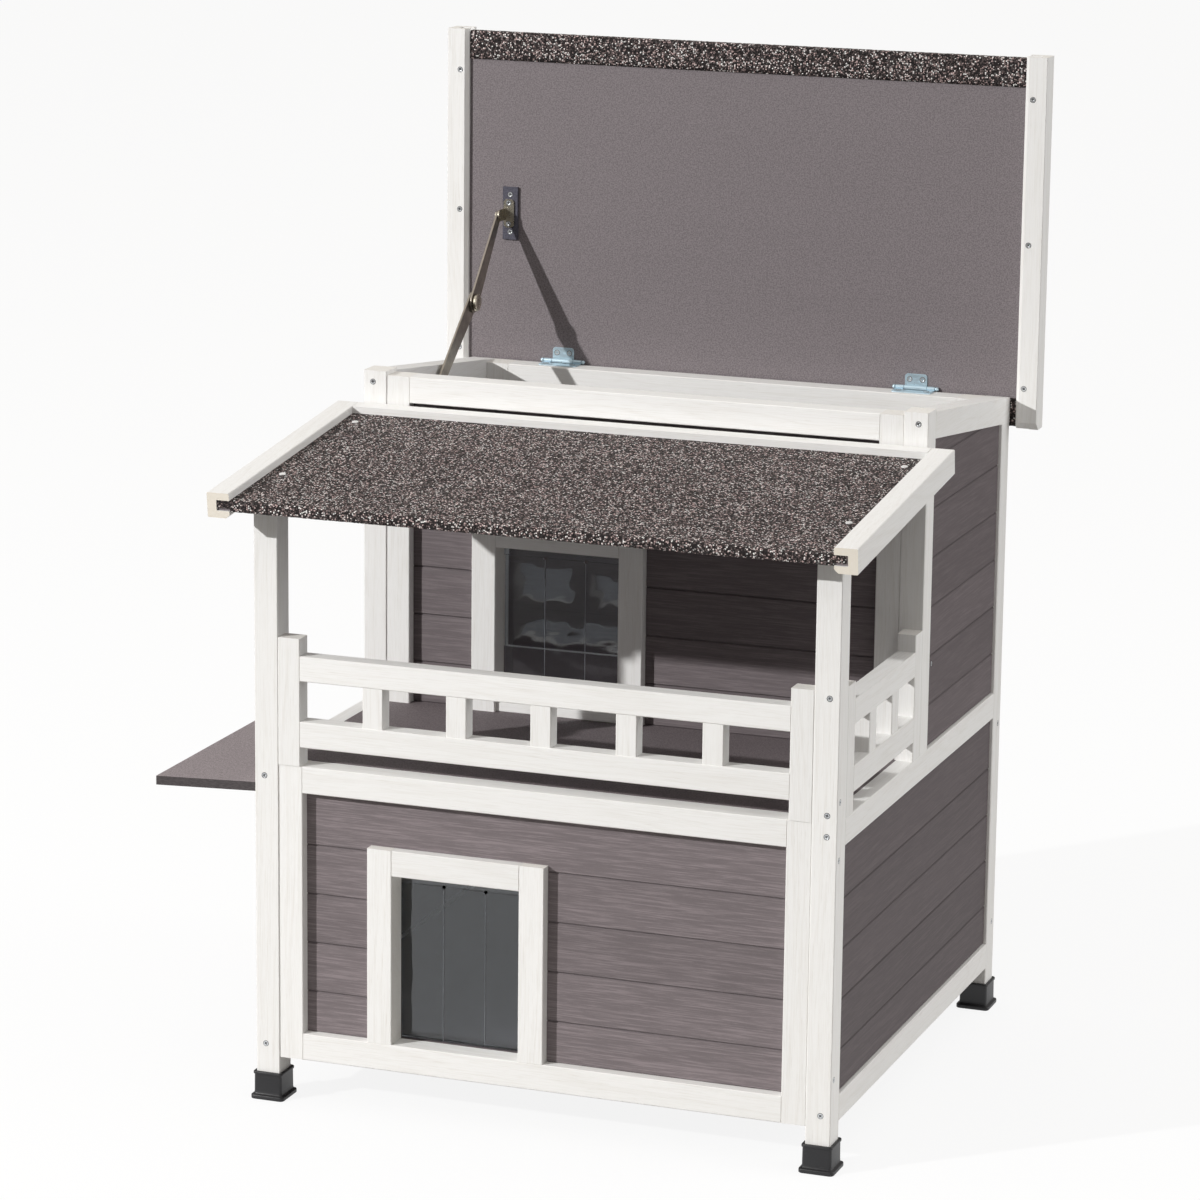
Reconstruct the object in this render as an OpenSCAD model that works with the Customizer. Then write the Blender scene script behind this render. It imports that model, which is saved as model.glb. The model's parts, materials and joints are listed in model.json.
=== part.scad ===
// Two-storey wooden cat house with a balcony, a porch roof and a hinged lid
// Millimetres, +Z up. Places are first given in the house's own corner frame:
// X from the left posts' outer face, Y from the front posts' front face, Z from the ground.
// Module house() then moves everything so that the origin is under the middle of the whole outline.

/* [Body] */
// Width over the corner posts
body_w = 620; // [560:1:700]
// Depth over the corner posts
body_d = 595; // [560:1:660]
// Height of the lower panels' underside above the ground
panel_lift = 47; // [38:1:56]
// Height of the balcony floor and of the upper room's floor
floor_z = 359; // [350:1:380]
// Distance from the front of the house to the front of the upper room
wall_y = 282; // [262:1:300]
// Height of the upper room's front posts
front_h = 717.3; // [710:0.1:750]
// Height of the rear rail that carries the lid's hinges
rear_h = 680.5; // [665:0.1:690]

/* [Timber] */
// Width of a post, seen from the front, and depth of the frame timbers behind it
timber = 26; // [22:1:30]
// Depth of a post, front to back
post_d = 28; // [27:1:34]
// Height of a rail in a wall panel
rail_h = 28; // [24:1:32]
// Width of a stile in a wall panel
stile_w = 26; // [22:1:32]
// How far the wall panels' timbers stand behind the posts' faces
frame_set = 1; // [0.5:0.5:2]
// Eased edge along every timber
edge = 0.8; // [0.4:0.1:1.5]

/* [Cladding boards] */
// Thickness of a cladding board
board_t = 9; // [7:0.5:10]
// Height of one board
board_pitch = 52; // [44:1:64]
// Top of the first board in the lower panels, above the panel's underside
lower_first = 71.5; // [55:0.5:85]
// Top of the first board in the upper walls, above the upper floor
upper_first = 44.5; // [30:0.5:60]
// How far the boards lie behind the frame's face at the front and the rear
front_recess = 11.5; // [8:0.5:13]
// How far the boards lie behind the posts' faces at the sides
side_recess = 3.5; // [2:0.5:8]
// Gap between two boards, and between the pieces of a door frame
joint_gap = 0.2; // [0.1:0.1:0.5]
// Chamfer along each board's face edges
board_chamfer = 1.2; // [0.6:0.1:2]
// Height and thickness of the tongue between two boards
tongue = 3; // [2:0.5:4]
// Thickness of the floors
floor_t = 9; // [7:0.5:12]
// Width of the ledge in the side rails that carries a floor
floor_ledge = 8; // [5:0.5:10]

/* [Doors] */
// Left side of both door openings
door_x = 150; // [110:1:250]
// Width of a door opening
door_w = 138; // [120:1:160]
// Height of a door opening
door_h = 179; // [150:1:190]
// Width of a jamb and height of a door head
jamb_w = 27; // [20:1:32]
// Depth of a door frame
door_d = 27; // [24:1:32]
// Height of the bar at the foot of the upper door
threshold_h = 10; // [6:1:14]
// Depth of the bar at the foot of the upper door
threshold_d = 18; // [12:1:24]

/* [Door flaps] */
// Thickness of the clear flap sheet
flap_t = 1; // [0.8:0.1:2]
// Gap beside a flap strip
slit = 1; // [0.6:0.1:2]
// Height of the uncut sheet that shows below the door head
band_drop = 13; // [8:1:20]
// Gap between a flap strip and the uncut sheet above it
band_gap = 0.6; // [0.6:0.1:0.9]
// How far the sheet reaches up behind the door head
band_rise = 23; // [20:1:25]
// How far the sheet and its clamp reach past the opening at each side
band_side = 10; // [6:1:16]
// Gap under a flap
flap_foot = 2; // [1:0.5:5]
// Height of the clamp bar that holds the sheet
clamp_h = 16; // [12:1:18]
// Thickness of the clamp bar
clamp_t = 8; // [6:1:12]
// Distance of the clamp bar above the door opening
clamp_up = 3; // [1:0.5:4]

/* [Balcony railing] */
// Width of a railing post
rail_post_w = 24; // [18:1:30]
// Thickness of the railing posts and rails
rail_post_d = 20; // [16:1:24]
// Height of a railing post
rail_post_h = 133; // [120:1:160]
// Underside of the lower railing rail above the floor
low_rail_z = 20; // [12:1:32]
// Height of the lower railing rail
low_rail_h = 27; // [20:1:30]
// Underside of the upper railing rail above the floor
top_rail_z = 89; // [80:1:92]
// Height of the upper railing rail
top_rail_h = 26; // [20:1:28]
// Width of a baluster
baluster_w = 22; // [16:1:28]
// Depth of a baluster
baluster_d = 18; // [12:1:20]
// Number of balusters at the front
front_balusters = 5; // [3:1:7]
// Number of balusters at the side
side_balusters = 2; // [1:1:3]

/* [Roof battens] */
// Width of a roof batten
batten_w = 24; // [20:1:30]
// Height of a roof batten
batten_h = 26; // [22:1:32]
// Depth of the groove that holds the roof panel
groove_d = 14; // [8:1:16]
// Thickness of a roof panel
panel_t = 9; // [6:0.5:10]
// Thickness of the roofing felt
felt_t = 1.6; // [1:0.1:2]
// Width of the felt that is folded under at an edge
felt_fold = 30; // [20:1:36]
// Clearance of a panel in its groove
groove_gap = 0.2; // [0.1:0.05:0.4]

/* [Porch roof] */
// Overhang of the porch roof in front of the front posts
porch_over = 48.3; // [40:0.1:70]
// Overhang of the porch roof at each side
porch_side = 29; // [27:1:40]
// Height of the porch roof's top edge at the eave
porch_eave = 646; // [600:1:660]
// Slope of the porch roof in degrees
porch_slope = 6.4; // [4:0.1:8]
// Depth of the batten along the porch roof's rear edge
porch_rear_w = 16; // [12:1:24]
// How far the panel reaches into the rear batten
porch_rear_groove = 8; // [5:1:10]
// Distance of the roof nails from the body's side
nail_in = 10.3; // [8:0.1:20]
// Distance of the front roof nails from the front of the house
nail_front_y = 48; // [40:1:80]
// Distance of the rear roof nails from the front of the house
nail_rear_y = 234; // [160:1:240]

/* [Lid] */
// Overhang of the lid at each side
lid_side = 31; // [29:1:45]
// Length of the lid's side battens
lid_l = 400; // [380:1:430]
// How far the lid reaches past its hinge axis
lid_tail = 36.4; // [20:0.1:45]
// How far the lid's panel and felt end inside the battens' ends
lid_inset = 2; // [0.5:0.5:5]
// Distance of the hinge axis behind the rear posts
hinge_set = 1; // [1:0.5:3]
// Gap between the closed lid and the front posts it comes down on
lid_rest_gap = 0.3; // [0.2:0.1:1]
// Distance of a lid screw from the batten's outer side
lid_screw_in = 15; // [10:1:18]
// Distance of the highest lid screw from the batten's end
lid_screw_drop = 45; // [36:1:60]
// Spacing of the lid screws along a batten
lid_screw_pitch = 155; // [120:1:165]

/* [Hinges] */
// Distance of a hinge's middle from the body's side
hinge_in = 106; // [90:1:180]
// Overall width of a hinge
hinge_w = 44; // [40:1:60]
// Width of the upper leaf
leaf_w = 25; // [20:1:30]
// Height of the upper leaf above the hinge axis
leaf_h = 15; // [12:1:20]
// Reach of the lower leaf in front of the hinge axis
leaf_reach = 20; // [16:1:24]
// Depth of the cut in the lower leaf, in front of the hinge axis
leaf_cut = 8; // [6:0.5:9]
// Thickness of the hinge sheet metal
leaf_t = 1.2; // [0.8:0.1:1.5]
// Radius of the hinge barrel
barrel_r = 2.4; // [2.2:0.1:2.8]
// Radius of the hinge pin
pin_r = 1.2; // [1:0.1:1.4]
// Running clearance of the hinge and stay pins, on the radius
pin_gap = 0.05; // [0.02:0.01:0.08]
// Gap between the hinge's barrel segments
barrel_gap = 0.4; // [0.3:0.1:0.8]
// Length of the ball end that stands out of a hinge
ball_l = 4; // [2:0.5:6]

/* [Lid stay] */
// Distance of the gap between the stay's arms from the body's left face
stay_x = 32.5; // [31:0.5:50]
// Height of the stay's lid pivot above the hinge axis
stay_up = 160.6; // [155:0.1:166]
// Distance of the stay's lid pivot in front of the lid panel
stay_out = 16.4; // [14:0.1:20]
// Slope of the upper arm on the open stay in degrees
upper_tilt = 50.6; // [49:0.1:53]
// Slope of the lower arm on the open stay in degrees
lower_tilt = 39; // [37:0.1:41]
// Length of the stay's upper arm between its pivots
upper_arm_l = 112; // [109:1:115]
// Length of the stay's lower arm between its pivots
lower_arm_l = 137; // [133:1:142]
// Radius of the upper arm's end at the bracket
upper_end_r = 5.5; // [5:0.5:6]
// Radius of the lower arm's end at the wall plate
lower_end_r = 7; // [5:0.5:8]
// Thickness of a stay arm
arm_t = 2; // [1.5:0.1:2.5]
// Radius of the arms' round ends at the knuckle
knuckle_r = 11.5; // [8:0.5:12]
// Radius of the knob on the knuckle
knob_r = 9.5; // [8:0.5:11]
// Thickness of the knob on the knuckle
knob_t = 5.5; // [4:0.5:8]
// Gap between the stay's arms and beside them
arm_gap = 0.3; // [0.2:0.05:0.5]
// Radius of the stay's pivot pins
stay_pin_r = 2.5; // [2:0.1:3]
// Radius of the heads on the stay's pins
stay_head_r = 4.5; // [4:0.1:5]
// Width of the pad behind the stay's bracket
block_w = 17.5; // [16:0.5:26]
// Distance of the pad's middle from the gap between the arms
block_off = 9.8; // [9:0.1:12]
// Height of the pad
block_h = 58.5; // [50:0.5:70]
// Thickness of the pad
block_t = 3; // [2:0.5:5]
// How far the pad reaches above the stay's lid pivot
block_rise = 30.3; // [28:0.1:33]
// Spacing of the screws that hold the pad
block_pitch = 41.6; // [41:0.1:46]
// Width of the bracket plate on the pad
bracket_w = 12.3; // [12:0.1:14]
// Height of the bracket plate
bracket_h = 31.4; // [30:0.1:34]
// Size of the clipped corners of the bracket plate
bracket_clip = 2.5; // [1:0.5:3]
// Spacing of the bracket plate's screws
bracket_pitch = 23.1; // [20:0.1:24]
// Width of the wall plate and of the bracket's ear
plate_w = 13; // [10:0.5:13]
// Thickness of the bracket plate, its ear and the wall plate
plate_t = 1.5; // [1:0.1:2]
// Height of the wall plate
wall_plate_h = 24; // [20:1:26]

/* [Shelf] */
// How far the shelf stands out from the left posts
shelf_out = 125; // [90:1:180]
// Length of the shelf along the wall
shelf_l = 253; // [200:1:300]
// Thickness of the shelf
shelf_t = 9.5; // [8:0.5:15]
// Drop of the shelf at its outer edge
shelf_drop = 5.7; // [0:0.1:10]
// Side of the square cleat under the shelf
cleat = 20; // [16:1:26]
// Length of the cleat under the shelf
cleat_l = 180; // [120:1:200]

/* [Feet] */
// Height of a foot cup
foot_h = 29.5; // [22:0.5:34]
// Wall of a foot cup
foot_wall = 2.4; // [1.8:0.1:3]
// Thickness of a foot cup under the post
foot_floor = 3; // [2:0.5:5]
// How far the flange at the base of a foot stands out
foot_flange = 3; // [2:0.5:5]
// Height of the flange at the base of a foot
foot_flange_h = 4.5; // [3:0.5:6]
// How far the rim at the top of a foot stands out
foot_rim = 0.8; // [0.4:0.1:1.2]
// Height of the rim at the top of a foot
foot_rim_h = 3; // [2:0.5:5]
// Clearance of a post in its foot
foot_gap = 0.1; // [0.05:0.05:0.3]

/* [Screws] */
// Radius of a wood screw's head
head_r = 3.1; // [2.6:0.1:3.6]
// Radius of a wood screw's shank
shank_r = 1.7; // [1.4:0.1:2]
// Length of a screw through a post
screw_l = 38; // [34:1:42]
// Length of a screw into a lid or door piece
short_screw_l = 7; // [5:0.5:8]
// Length of a screw through the flap sheet's clamp
clamp_screw_l = 20; // [16:1:24]
// Clearance of a screw in its hole, on the radius
screw_gap = 0.1; // [0.05:0.05:0.2]
// Distance of a post's front screws from its outer side
screw_in = 10.5; // [8:0.5:14]
// Distance of a post's side screws from its front or rear face
screw_back = 8.5; // [7:0.5:12]
// Height of the lowest front screw above the lower panel's underside
low_screw_z = 13; // [10:1:18]

/* [Hidden] */
$fn = 48;

// Colours
white_paint = [0.93, 0.93, 0.91];
grey_paint = [0.43, 0.39, 0.40];
felt_colour = [0.30, 0.25, 0.25];
zinc = [0.70, 0.80, 0.88];
dark_steel = [0.35, 0.33, 0.31];
black_plastic = [0.10, 0.10, 0.11];
clear_sheet = [0.30, 0.34, 0.38, 0.5];

// Levels of the frame
rail_low_top = panel_lift + rail_h;
mid_rail_z = floor_z - rail_h;
wall_back = wall_y + post_d;
rear_y = body_d - post_d;
inner_l = timber;
inner_r = body_w - timber;
stile_l = inner_l + stile_w;
stile_r = inner_r - stile_w;
front_rail_drop = 4.3;
front_rail_top = front_h - front_rail_drop;
rail_drop = 2.8;
side_rise = front_h - rail_drop - rear_h;
side_run = body_d - wall_back;
min_board = 12;
fit = 0.2;

// Door frames and flaps
lower_door_z = rail_low_top;
upper_door_z = floor_z;
flap_count = 3;
strip_w = (door_w - slit * (flap_count + 1)) / flap_count;
lower_flap_y = frame_set + door_d;
upper_flap_y = wall_y + frame_set + door_d;
flap_top = door_h - band_drop - band_gap;

// Roof battens: the groove lies in the middle of the batten's height
groove_h = panel_t + felt_t + 2 * groove_gap;
lip = (batten_h - groove_h) / 2;
bevel = 4;

// Porch roof, in its own sloping frame with the batten's front top corner at the origin
porch_l = (wall_y + porch_over - batten_h * sin(porch_slope)) / cos(porch_slope);
porch_w = body_w + 2 * porch_side;
porch_felt_top = -lip - groove_gap;
porch_panel_top = porch_felt_top - felt_t;
porch_under = porch_panel_top - panel_t;
porch_nose = 0.5;

// Lid: hinge axis and the lid's own frame, with the panel's underside at v = 0
hinge_y = body_d + hinge_set;
hinge_z = rear_h + barrel_r;
lid_under = hinge_y + barrel_r;
lid_w = body_w + 2 * lid_side;
lid_low = hinge_z - lid_tail;
lid_high = lid_low + lid_l;
batten_front = lid_under - lip - groove_gap;
batten_rear = batten_front + batten_h;

// The lid is closed when its underside comes down on the upper posts' rear top edges
close_run = hinge_y - wall_back;
close_rise = front_h + lid_rest_gap - hinge_z;
close_reach = sqrt(close_run * close_run + close_rise * close_rise);
lid_pitch = acos(barrel_r / close_reach) - atan2(close_run, close_rise);
lid_turn = 90 - lid_pitch;

// Stay pivots at rest and with the lid closed, as [y, z]
stay_lid = [lid_under - stay_out, hinge_z + stay_up];
stay_knuckle = stay_lid - upper_arm_l * [cos(upper_tilt), sin(upper_tilt)];
stay_wall = stay_knuckle - lower_arm_l * [cos(lower_tilt), sin(lower_tilt)];
function turned(p, a) = [p[0] * cos(a) - p[1] * sin(a), p[0] * sin(a) + p[1] * cos(a)];
hinge_yz = [hinge_y, hinge_z];
stay_lid_shut = hinge_yz + turned(stay_lid - hinge_yz, lid_turn);
stay_base = stay_lid_shut - stay_wall;
base_len = norm(stay_base);
base_dir = atan2(stay_base[1], stay_base[0]);
lower_corner = acos((lower_arm_l ^ 2 + base_len ^ 2 - upper_arm_l ^ 2) / (2 * lower_arm_l * base_len));
upper_corner = acos((upper_arm_l ^ 2 + base_len ^ 2 - lower_arm_l ^ 2) / (2 * upper_arm_l * base_len));
stay_lower_turn = base_dir - lower_corner - lower_tilt;
stay_upper_turn = base_dir + upper_corner - upper_tilt - lid_turn;

// The whole outline, whose middle is the origin
origin = [(body_w + lid_side - shelf_out) / 2, (batten_rear - porch_over) / 2, 0];
echo(lid_turn = lid_turn, stay_lower_turn = stay_lower_turn, stay_upper_turn = stay_upper_turn);
echo(origin = origin, hinge = [hinge_y, hinge_z], stay_lid = stay_lid, stay_wall = stay_wall);
echo(lower_flap = [lower_flap_y + flap_t / 2, lower_door_z + flap_top]);
echo(upper_flap = [upper_flap_y + flap_t / 2, upper_door_z + flap_top]);

// Layers of the lid stay from the left: lower arm, upper arm, and the bracket's ear at the upper arm's end
lower_arm_x = stay_x - arm_gap / 2 - arm_t;
upper_arm_x = stay_x + arm_gap / 2;
ear_x = upper_arm_x + arm_t + arm_gap;
pin_head_t = 1.2;

// Small distances of the screws
clamp_screw_in = 9;

// Screws as [place of the head, direction the head faces, length]
FRONT = [0, -1, 0];
BACK = [0, 1, 0];
RIGHT = [1, 0, 0];
LEFT = [-1, 0, 0];
UP = [0, 0, 1];
low_screw = panel_lift + low_screw_z;
mid_screw = floor_z - low_screw_z;
foot_screw = floor_z + screw_back;
rail_post_screw_drop = 7;
head_screw = floor_z + rail_post_h - rail_post_screw_drop;
side_screw_rise = 21;
side_screw_drop = 10;
stile_low_screw = rail_low_top + side_screw_rise;
stile_high_screw = mid_rail_z - side_screw_drop;
post_side_screw = floor_z + low_rail_z + 1;
upper_screw_drop = 12;
hinge_screw_dx = 7.3;
hinge_lower_dx = 15.5;
hinge_screw_up = 9;
hinge_screw_back = 12;
board_screw_in = 19;
board_screw_up = 87;
side_board_screw = [wall_back + board_screw_in, floor_z + board_screw_up];

FRONT_SCREWS = [
    for (x = [screw_in, body_w - screw_in]) for (z = [low_screw, mid_screw]) [[x, 0, z], FRONT, screw_l],
    for (z = [foot_screw, head_screw]) [[body_w - screw_in, 0, z], FRONT, screw_l]
];
SIDE_SCREWS = [
    for (z = [stile_low_screw, stile_high_screw, post_side_screw]) for (side = [0, 1])
        [[side * body_w, screw_back, z], side == 1 ? RIGHT : LEFT, screw_l],
    for (z = [stile_low_screw, stile_high_screw]) for (side = [0, 1])
        [[side * body_w, body_d - screw_back, z], side == 1 ? RIGHT : LEFT, screw_l],
    for (side = [0, 1])
        [[side * body_w + (side == 1 ? -side_recess : side_recess), side_board_screw[0], side_board_screw[1]],
            side == 1 ? RIGHT : LEFT, board_t - fit]
];
UPPER_SCREWS = [
    for (x = [screw_in, body_w - screw_in]) [[x, wall_y, front_h - upper_screw_drop], FRONT, screw_l]
];
HINGE_SCREWS = [
    for (x = [hinge_in, body_w - hinge_in]) for (s = [-1, 1])
        [[x + s * hinge_lower_dx, hinge_y - hinge_screw_back, rear_h + leaf_t], UP, rail_h / 2]
];
plate_screw_z = stay_wall[1] + wall_plate_h - plate_w;
PLATE_SCREWS = [[[inner_l + plate_t, stay_wall[0], plate_screw_z], RIGHT, rail_h / 2]];
CLAMP_SCREWS = [
    for (level = [0, 1]) for (s = [-1, 0, 1])
        [[door_x + door_w / 2 + s * (door_w / 2 - clamp_screw_in),
            (level == 0 ? lower_flap_y : upper_flap_y) + flap_t + clamp_t,
            (level == 0 ? lower_door_z : upper_door_z) + door_h + clamp_up + clamp_h / 2],
            BACK, clamp_screw_l]
];
BODY_SCREWS = concat(FRONT_SCREWS, SIDE_SCREWS, UPPER_SCREWS, HINGE_SCREWS, PLATE_SCREWS, CLAMP_SCREWS);
block_top = hinge_z + stay_up + block_rise;
block_mid = block_top - block_h / 2;
block_face = lid_under - block_t;
block_x = stay_x + block_off;
LID_SCREWS = [
    for (x = [lid_screw_in - lid_side, body_w + lid_side - lid_screw_in]) for (i = [0, 1, 2])
        [[x, batten_front, lid_high - lid_screw_drop - i * lid_screw_pitch], FRONT, lip + panel_t],
    for (s = [-1, 1]) [[block_x, block_face, block_mid + s * block_pitch / 2],
        FRONT, block_t + short_screw_l],
    for (s = [-1, 1]) [[ear_x + bracket_w / 2, block_face - plate_t, block_mid + s * bracket_pitch / 2],
        FRONT, short_screw_l + plate_t],
    for (x = [hinge_in, body_w - hinge_in]) for (s = [-1, 1])
        [[x + s * hinge_screw_dx, lid_under - leaf_t, hinge_z + hinge_screw_up], FRONT, short_screw_l]
];

module house() {
    translate(-origin) children();
}

// Turns +Z to the direction that a screw's head faces
module facing(dir) {
    rotate(dir == FRONT ? [90, 0, 0] : dir == BACK ? [-90, 0, 0] : dir == RIGHT ? [0, 90, 0]
        : dir == LEFT ? [0, -90, 0] : [0, 0, 0]) children();
}

// A countersunk screw with a cross slot
csk = 1.6;
slot_w = 0.7;
slot_t = 0.8;
slot_l = head_r * 1.2;
module screw(s) {
    translate(s[0]) facing(s[1]) difference() {
        union() {
            translate([0, 0, -csk]) cylinder(h = csk, r1 = shank_r, r2 = head_r);
            translate([0, 0, -s[2]]) cylinder(h = s[2] - csk, r = shank_r);
        }
        for (a = [0, 90]) rotate(a) translate([-slot_l / 2, -slot_w / 2, -slot_t]) cube([slot_l, slot_w, 1]);
    }
}

module screw_hole(s) {
    translate(s[0]) facing(s[1]) {
        translate([0, 0, -csk]) cylinder(h = csk, r1 = shank_r + screw_gap, r2 = head_r + screw_gap);
        translate([0, 0, -s[2] - fit]) cylinder(h = s[2] + fit - csk, r = shank_r + screw_gap);
        cylinder(h = 1, r = head_r + screw_gap);
    }
}

// The screws whose length crosses the box from lo to hi
function tip(s) = s[0] - s[1] * s[2];
function meets(s, lo, hi) = min([for (i = [0, 1, 2])
    min(hi[i] - min(s[0][i], tip(s)[i]), max(s[0][i], tip(s)[i]) - lo[i])]) > -shank_r;
function crossing(list, lo, hi) = [for (s = list) if (meets(s, lo, hi)) s];

// A rectangle with eased corners
module eased(a, b) {
    polygon([
        [edge, 0], [a - edge, 0], [a, edge], [a, b - edge],
        [a - edge, b], [edge, b], [0, b - edge], [0, edge]
    ]);
}

// A straight timber between two corners, with eased long edges and its screw holes
module timber(lo, hi, screws = BODY_SCREWS) {
    size = hi - lo;
    difference() {
        translate(lo)
            if (size[0] >= size[1] && size[0] >= size[2])
                rotate([90, 0, 90]) linear_extrude(size[0]) eased(size[1], size[2]);
            else if (size[1] >= size[2])
                translate([0, size[1], 0]) rotate([90, 0, 0]) linear_extrude(size[1]) eased(size[0], size[2]);
            else
                linear_extrude(size[2]) eased(size[0], size[1]);
        for (s = crossing(screws, lo, hi)) screw_hole(s);
    }
}

// Outline of a board: depth from the face, height, with a tongue above and a groove below
module board_outline(h, has_tongue, has_groove) {
    c = board_chamfer;
    t0 = (board_t - tongue) / 2;
    difference() {
        union() {
            polygon([[c, 0], [board_t, 0], [board_t, h], [c, h], [0, h - c], [0, c]]);
            if (has_tongue) translate([t0, h - 1]) square([tongue, tongue + 1]);
        }
        if (has_groove) translate([t0 - fit, -1]) square([tongue + 2 * fit, tongue + 1 + fit]);
    }
}

// Board joints from z0 up to z1, the first one at a given height
function joints(z0, z1, first) =
    concat([z0], [for (z = first; z < z1 - min_board; z = z + board_pitch) z], [z1]);

// One board of a wall that runs along +X, with its face towards -Y
module board(length, zs, i) {
    last = i == len(zs) - 2;
    translate([0, 0, zs[i]]) rotate([90, 0, 90])
        linear_extrude(length) board_outline(zs[i + 1] - zs[i] - (last ? 0 : joint_gap), !last, i > 0);
}

module boards(length, zs) {
    for (i = [0 : len(zs) - 2]) board(length, zs, i);
}

// Cladding boards round a door: left of it, right of it and above it
module boards_round_door(zs, door_z) {
    head_top = door_z + door_h + jamb_w;
    difference() {
        translate([stile_l, 0, 0]) boards(stile_r - stile_l, zs);
        translate([door_x - jamb_w - fit, -1, zs[0] - 1])
            cube([door_w + 2 * jamb_w + 2 * fit, board_t + 2, head_top + fit - zs[0] + 1]);
    }
}

lower_joints = joints(rail_low_top, mid_rail_z, panel_lift + lower_first);
upper_joints = joints(floor_z, front_rail_top - rail_h, floor_z + upper_first);
rear_upper_joints = joints(floor_z, rear_h - rail_h, floor_z + upper_first);
side_upper_top = max(rail_top(wall_back), rail_top(rear_y)) - rail_h;
side_upper_joints = joints(floor_z, side_upper_top, floor_z + upper_first);

// Posts
module front_post(x) {
    house() difference() {
        timber([x, 0, foot_floor], [x + timber, post_d, porch_eave]);
        porch_frame() translate([x - 1 + porch_side, 0, porch_under - fit])
            cube([timber + 2, porch_l, batten_h]);
    }
}

module rear_post(x) {
    house() difference() {
        timber([x, rear_y, foot_floor], [x + timber, body_d, rear_h]);
        translate([x - 1, 0, 0]) above_sloping_rail_underside();
    }
}

module upper_post(x) {
    house() timber([x, wall_y, floor_z], [x + timber, wall_back, front_h]);
}

module post_front_left() {
    color(white_paint) front_post(0);
}

module post_front_right() {
    color(white_paint) front_post(inner_r);
}

module post_rear_left() {
    color(white_paint) rear_post(0);
}

module post_rear_right() {
    color(white_paint) rear_post(inner_r);
}

module post_upper_left() {
    color(white_paint) upper_post(0);
}

module post_upper_right() {
    color(white_paint) upper_post(inner_r);
}

// A foot cup: flange, wall and top rim round the end of a post
module foot() {
    wall = foot_wall + foot_gap;
    difference() {
        union() {
            translate([-wall, -wall, 0]) cube([timber + 2 * wall, post_d + 2 * wall, foot_h]);
            translate([-wall - foot_flange, -wall - foot_flange, 0])
                cube([timber + 2 * (wall + foot_flange), post_d + 2 * (wall + foot_flange), foot_flange_h]);
            translate([-wall - foot_rim, -wall - foot_rim, foot_h - foot_rim_h])
                cube([timber + 2 * (wall + foot_rim), post_d + 2 * (wall + foot_rim), foot_rim_h]);
        }
        translate([-foot_gap, -foot_gap, foot_floor])
            cube([timber + 2 * foot_gap, post_d + 2 * foot_gap, foot_h]);
    }
}

module feet() {
    color(black_plastic) house()
        for (x = [0, inner_r]) for (y = [0, rear_y]) translate([x, y, 0]) foot();
}

// Lower storey
module lower_front_stiles() {
    color(white_paint) house() for (x = [inner_l, stile_r])
        timber([x, frame_set, panel_lift], [x + stile_w, frame_set + timber, floor_z]);
}

module lower_front_rails() {
    color(white_paint) house() for (z = [panel_lift, mid_rail_z])
        timber([stile_l, frame_set, z], [stile_r, frame_set + timber, z + rail_h]);
}

module lower_front_boards() {
    color(grey_paint) house() translate([0, frame_set + front_recess, 0])
        boards_round_door(lower_joints, lower_door_z);
}

module door_frame(y, z) {
    top = z + door_h + jamb_w;
    for (x = [door_x - jamb_w, door_x + door_w])
        timber([x, y, z], [x + jamb_w, y + door_d, top]);
    timber([door_x + joint_gap, y, z + door_h], [door_x + door_w - joint_gap, y + door_d, top]);
}

module lower_door_frame() {
    color(white_paint) house() door_frame(frame_set, lower_door_z);
}

// Side rails: a bottom rail and a middle rail, each with a ledge for the floor
module side_rails(x, ledge_x) {
    for (z = [panel_lift, mid_rail_z]) difference() {
        timber([x, post_d, z], [x + timber, rear_y, z + rail_h]);
        translate([ledge_x, post_d - 1, z + rail_h - floor_t])
            cube([floor_ledge + 1, rear_y - post_d + 2, floor_t + 1]);
    }
}

module lower_side_rails_left() {
    color(white_paint) house() side_rails(0, timber - floor_ledge);
}

module lower_side_rails_right() {
    color(white_paint) house() side_rails(inner_r, inner_r - 1);
}

module lower_side_boards_left() {
    color(grey_paint) house() translate([side_recess, rear_y, 0]) rotate([0, 0, -90])
        boards(rear_y - post_d, lower_joints);
}

module lower_side_boards_right() {
    color(grey_paint) house() translate([body_w - side_recess, post_d, 0]) rotate([0, 0, 90])
        boards(rear_y - post_d, lower_joints);
}

// Rear wall, both storeys
rear_frame_y = body_d - frame_set - timber;
module rear_stiles() {
    color(white_paint) house() for (x = [inner_l, stile_r])
        timber([x, rear_frame_y, panel_lift], [x + stile_w, rear_frame_y + timber, rear_h]);
}

module rear_rails() {
    color(white_paint) house() for (z = [panel_lift, mid_rail_z, rear_h - rail_h])
        timber([stile_l, rear_frame_y, z], [stile_r, rear_frame_y + timber, z + rail_h]);
}

module rear_boards() {
    color(grey_paint) house() translate([stile_r, body_d - frame_set - front_recess, 0]) rotate([0, 0, 180]) {
        boards(stile_r - stile_l, lower_joints);
        boards(stile_r - stile_l, rear_upper_joints);
    }
}

// A floor lies on the side rails' ledges, between the front and the rear frame
module floor_panel(top) {
    translate([timber - floor_ledge + fit, post_d + fit, top - floor_t])
        cube([body_w - 2 * (timber - floor_ledge + fit), rear_y - post_d - 2 * fit, floor_t]);
}

module lower_floor() {
    color(grey_paint) house() floor_panel(rail_low_top);
}

module upper_floor() {
    color(grey_paint) house() floor_panel(floor_z);
}

// Upper storey
upper_frame_y = wall_y + frame_set;
module upper_front_stiles() {
    color(white_paint) house() for (x = [inner_l, stile_r])
        timber([x, upper_frame_y, floor_z], [x + stile_w, upper_frame_y + timber, front_rail_top]);
}

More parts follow.
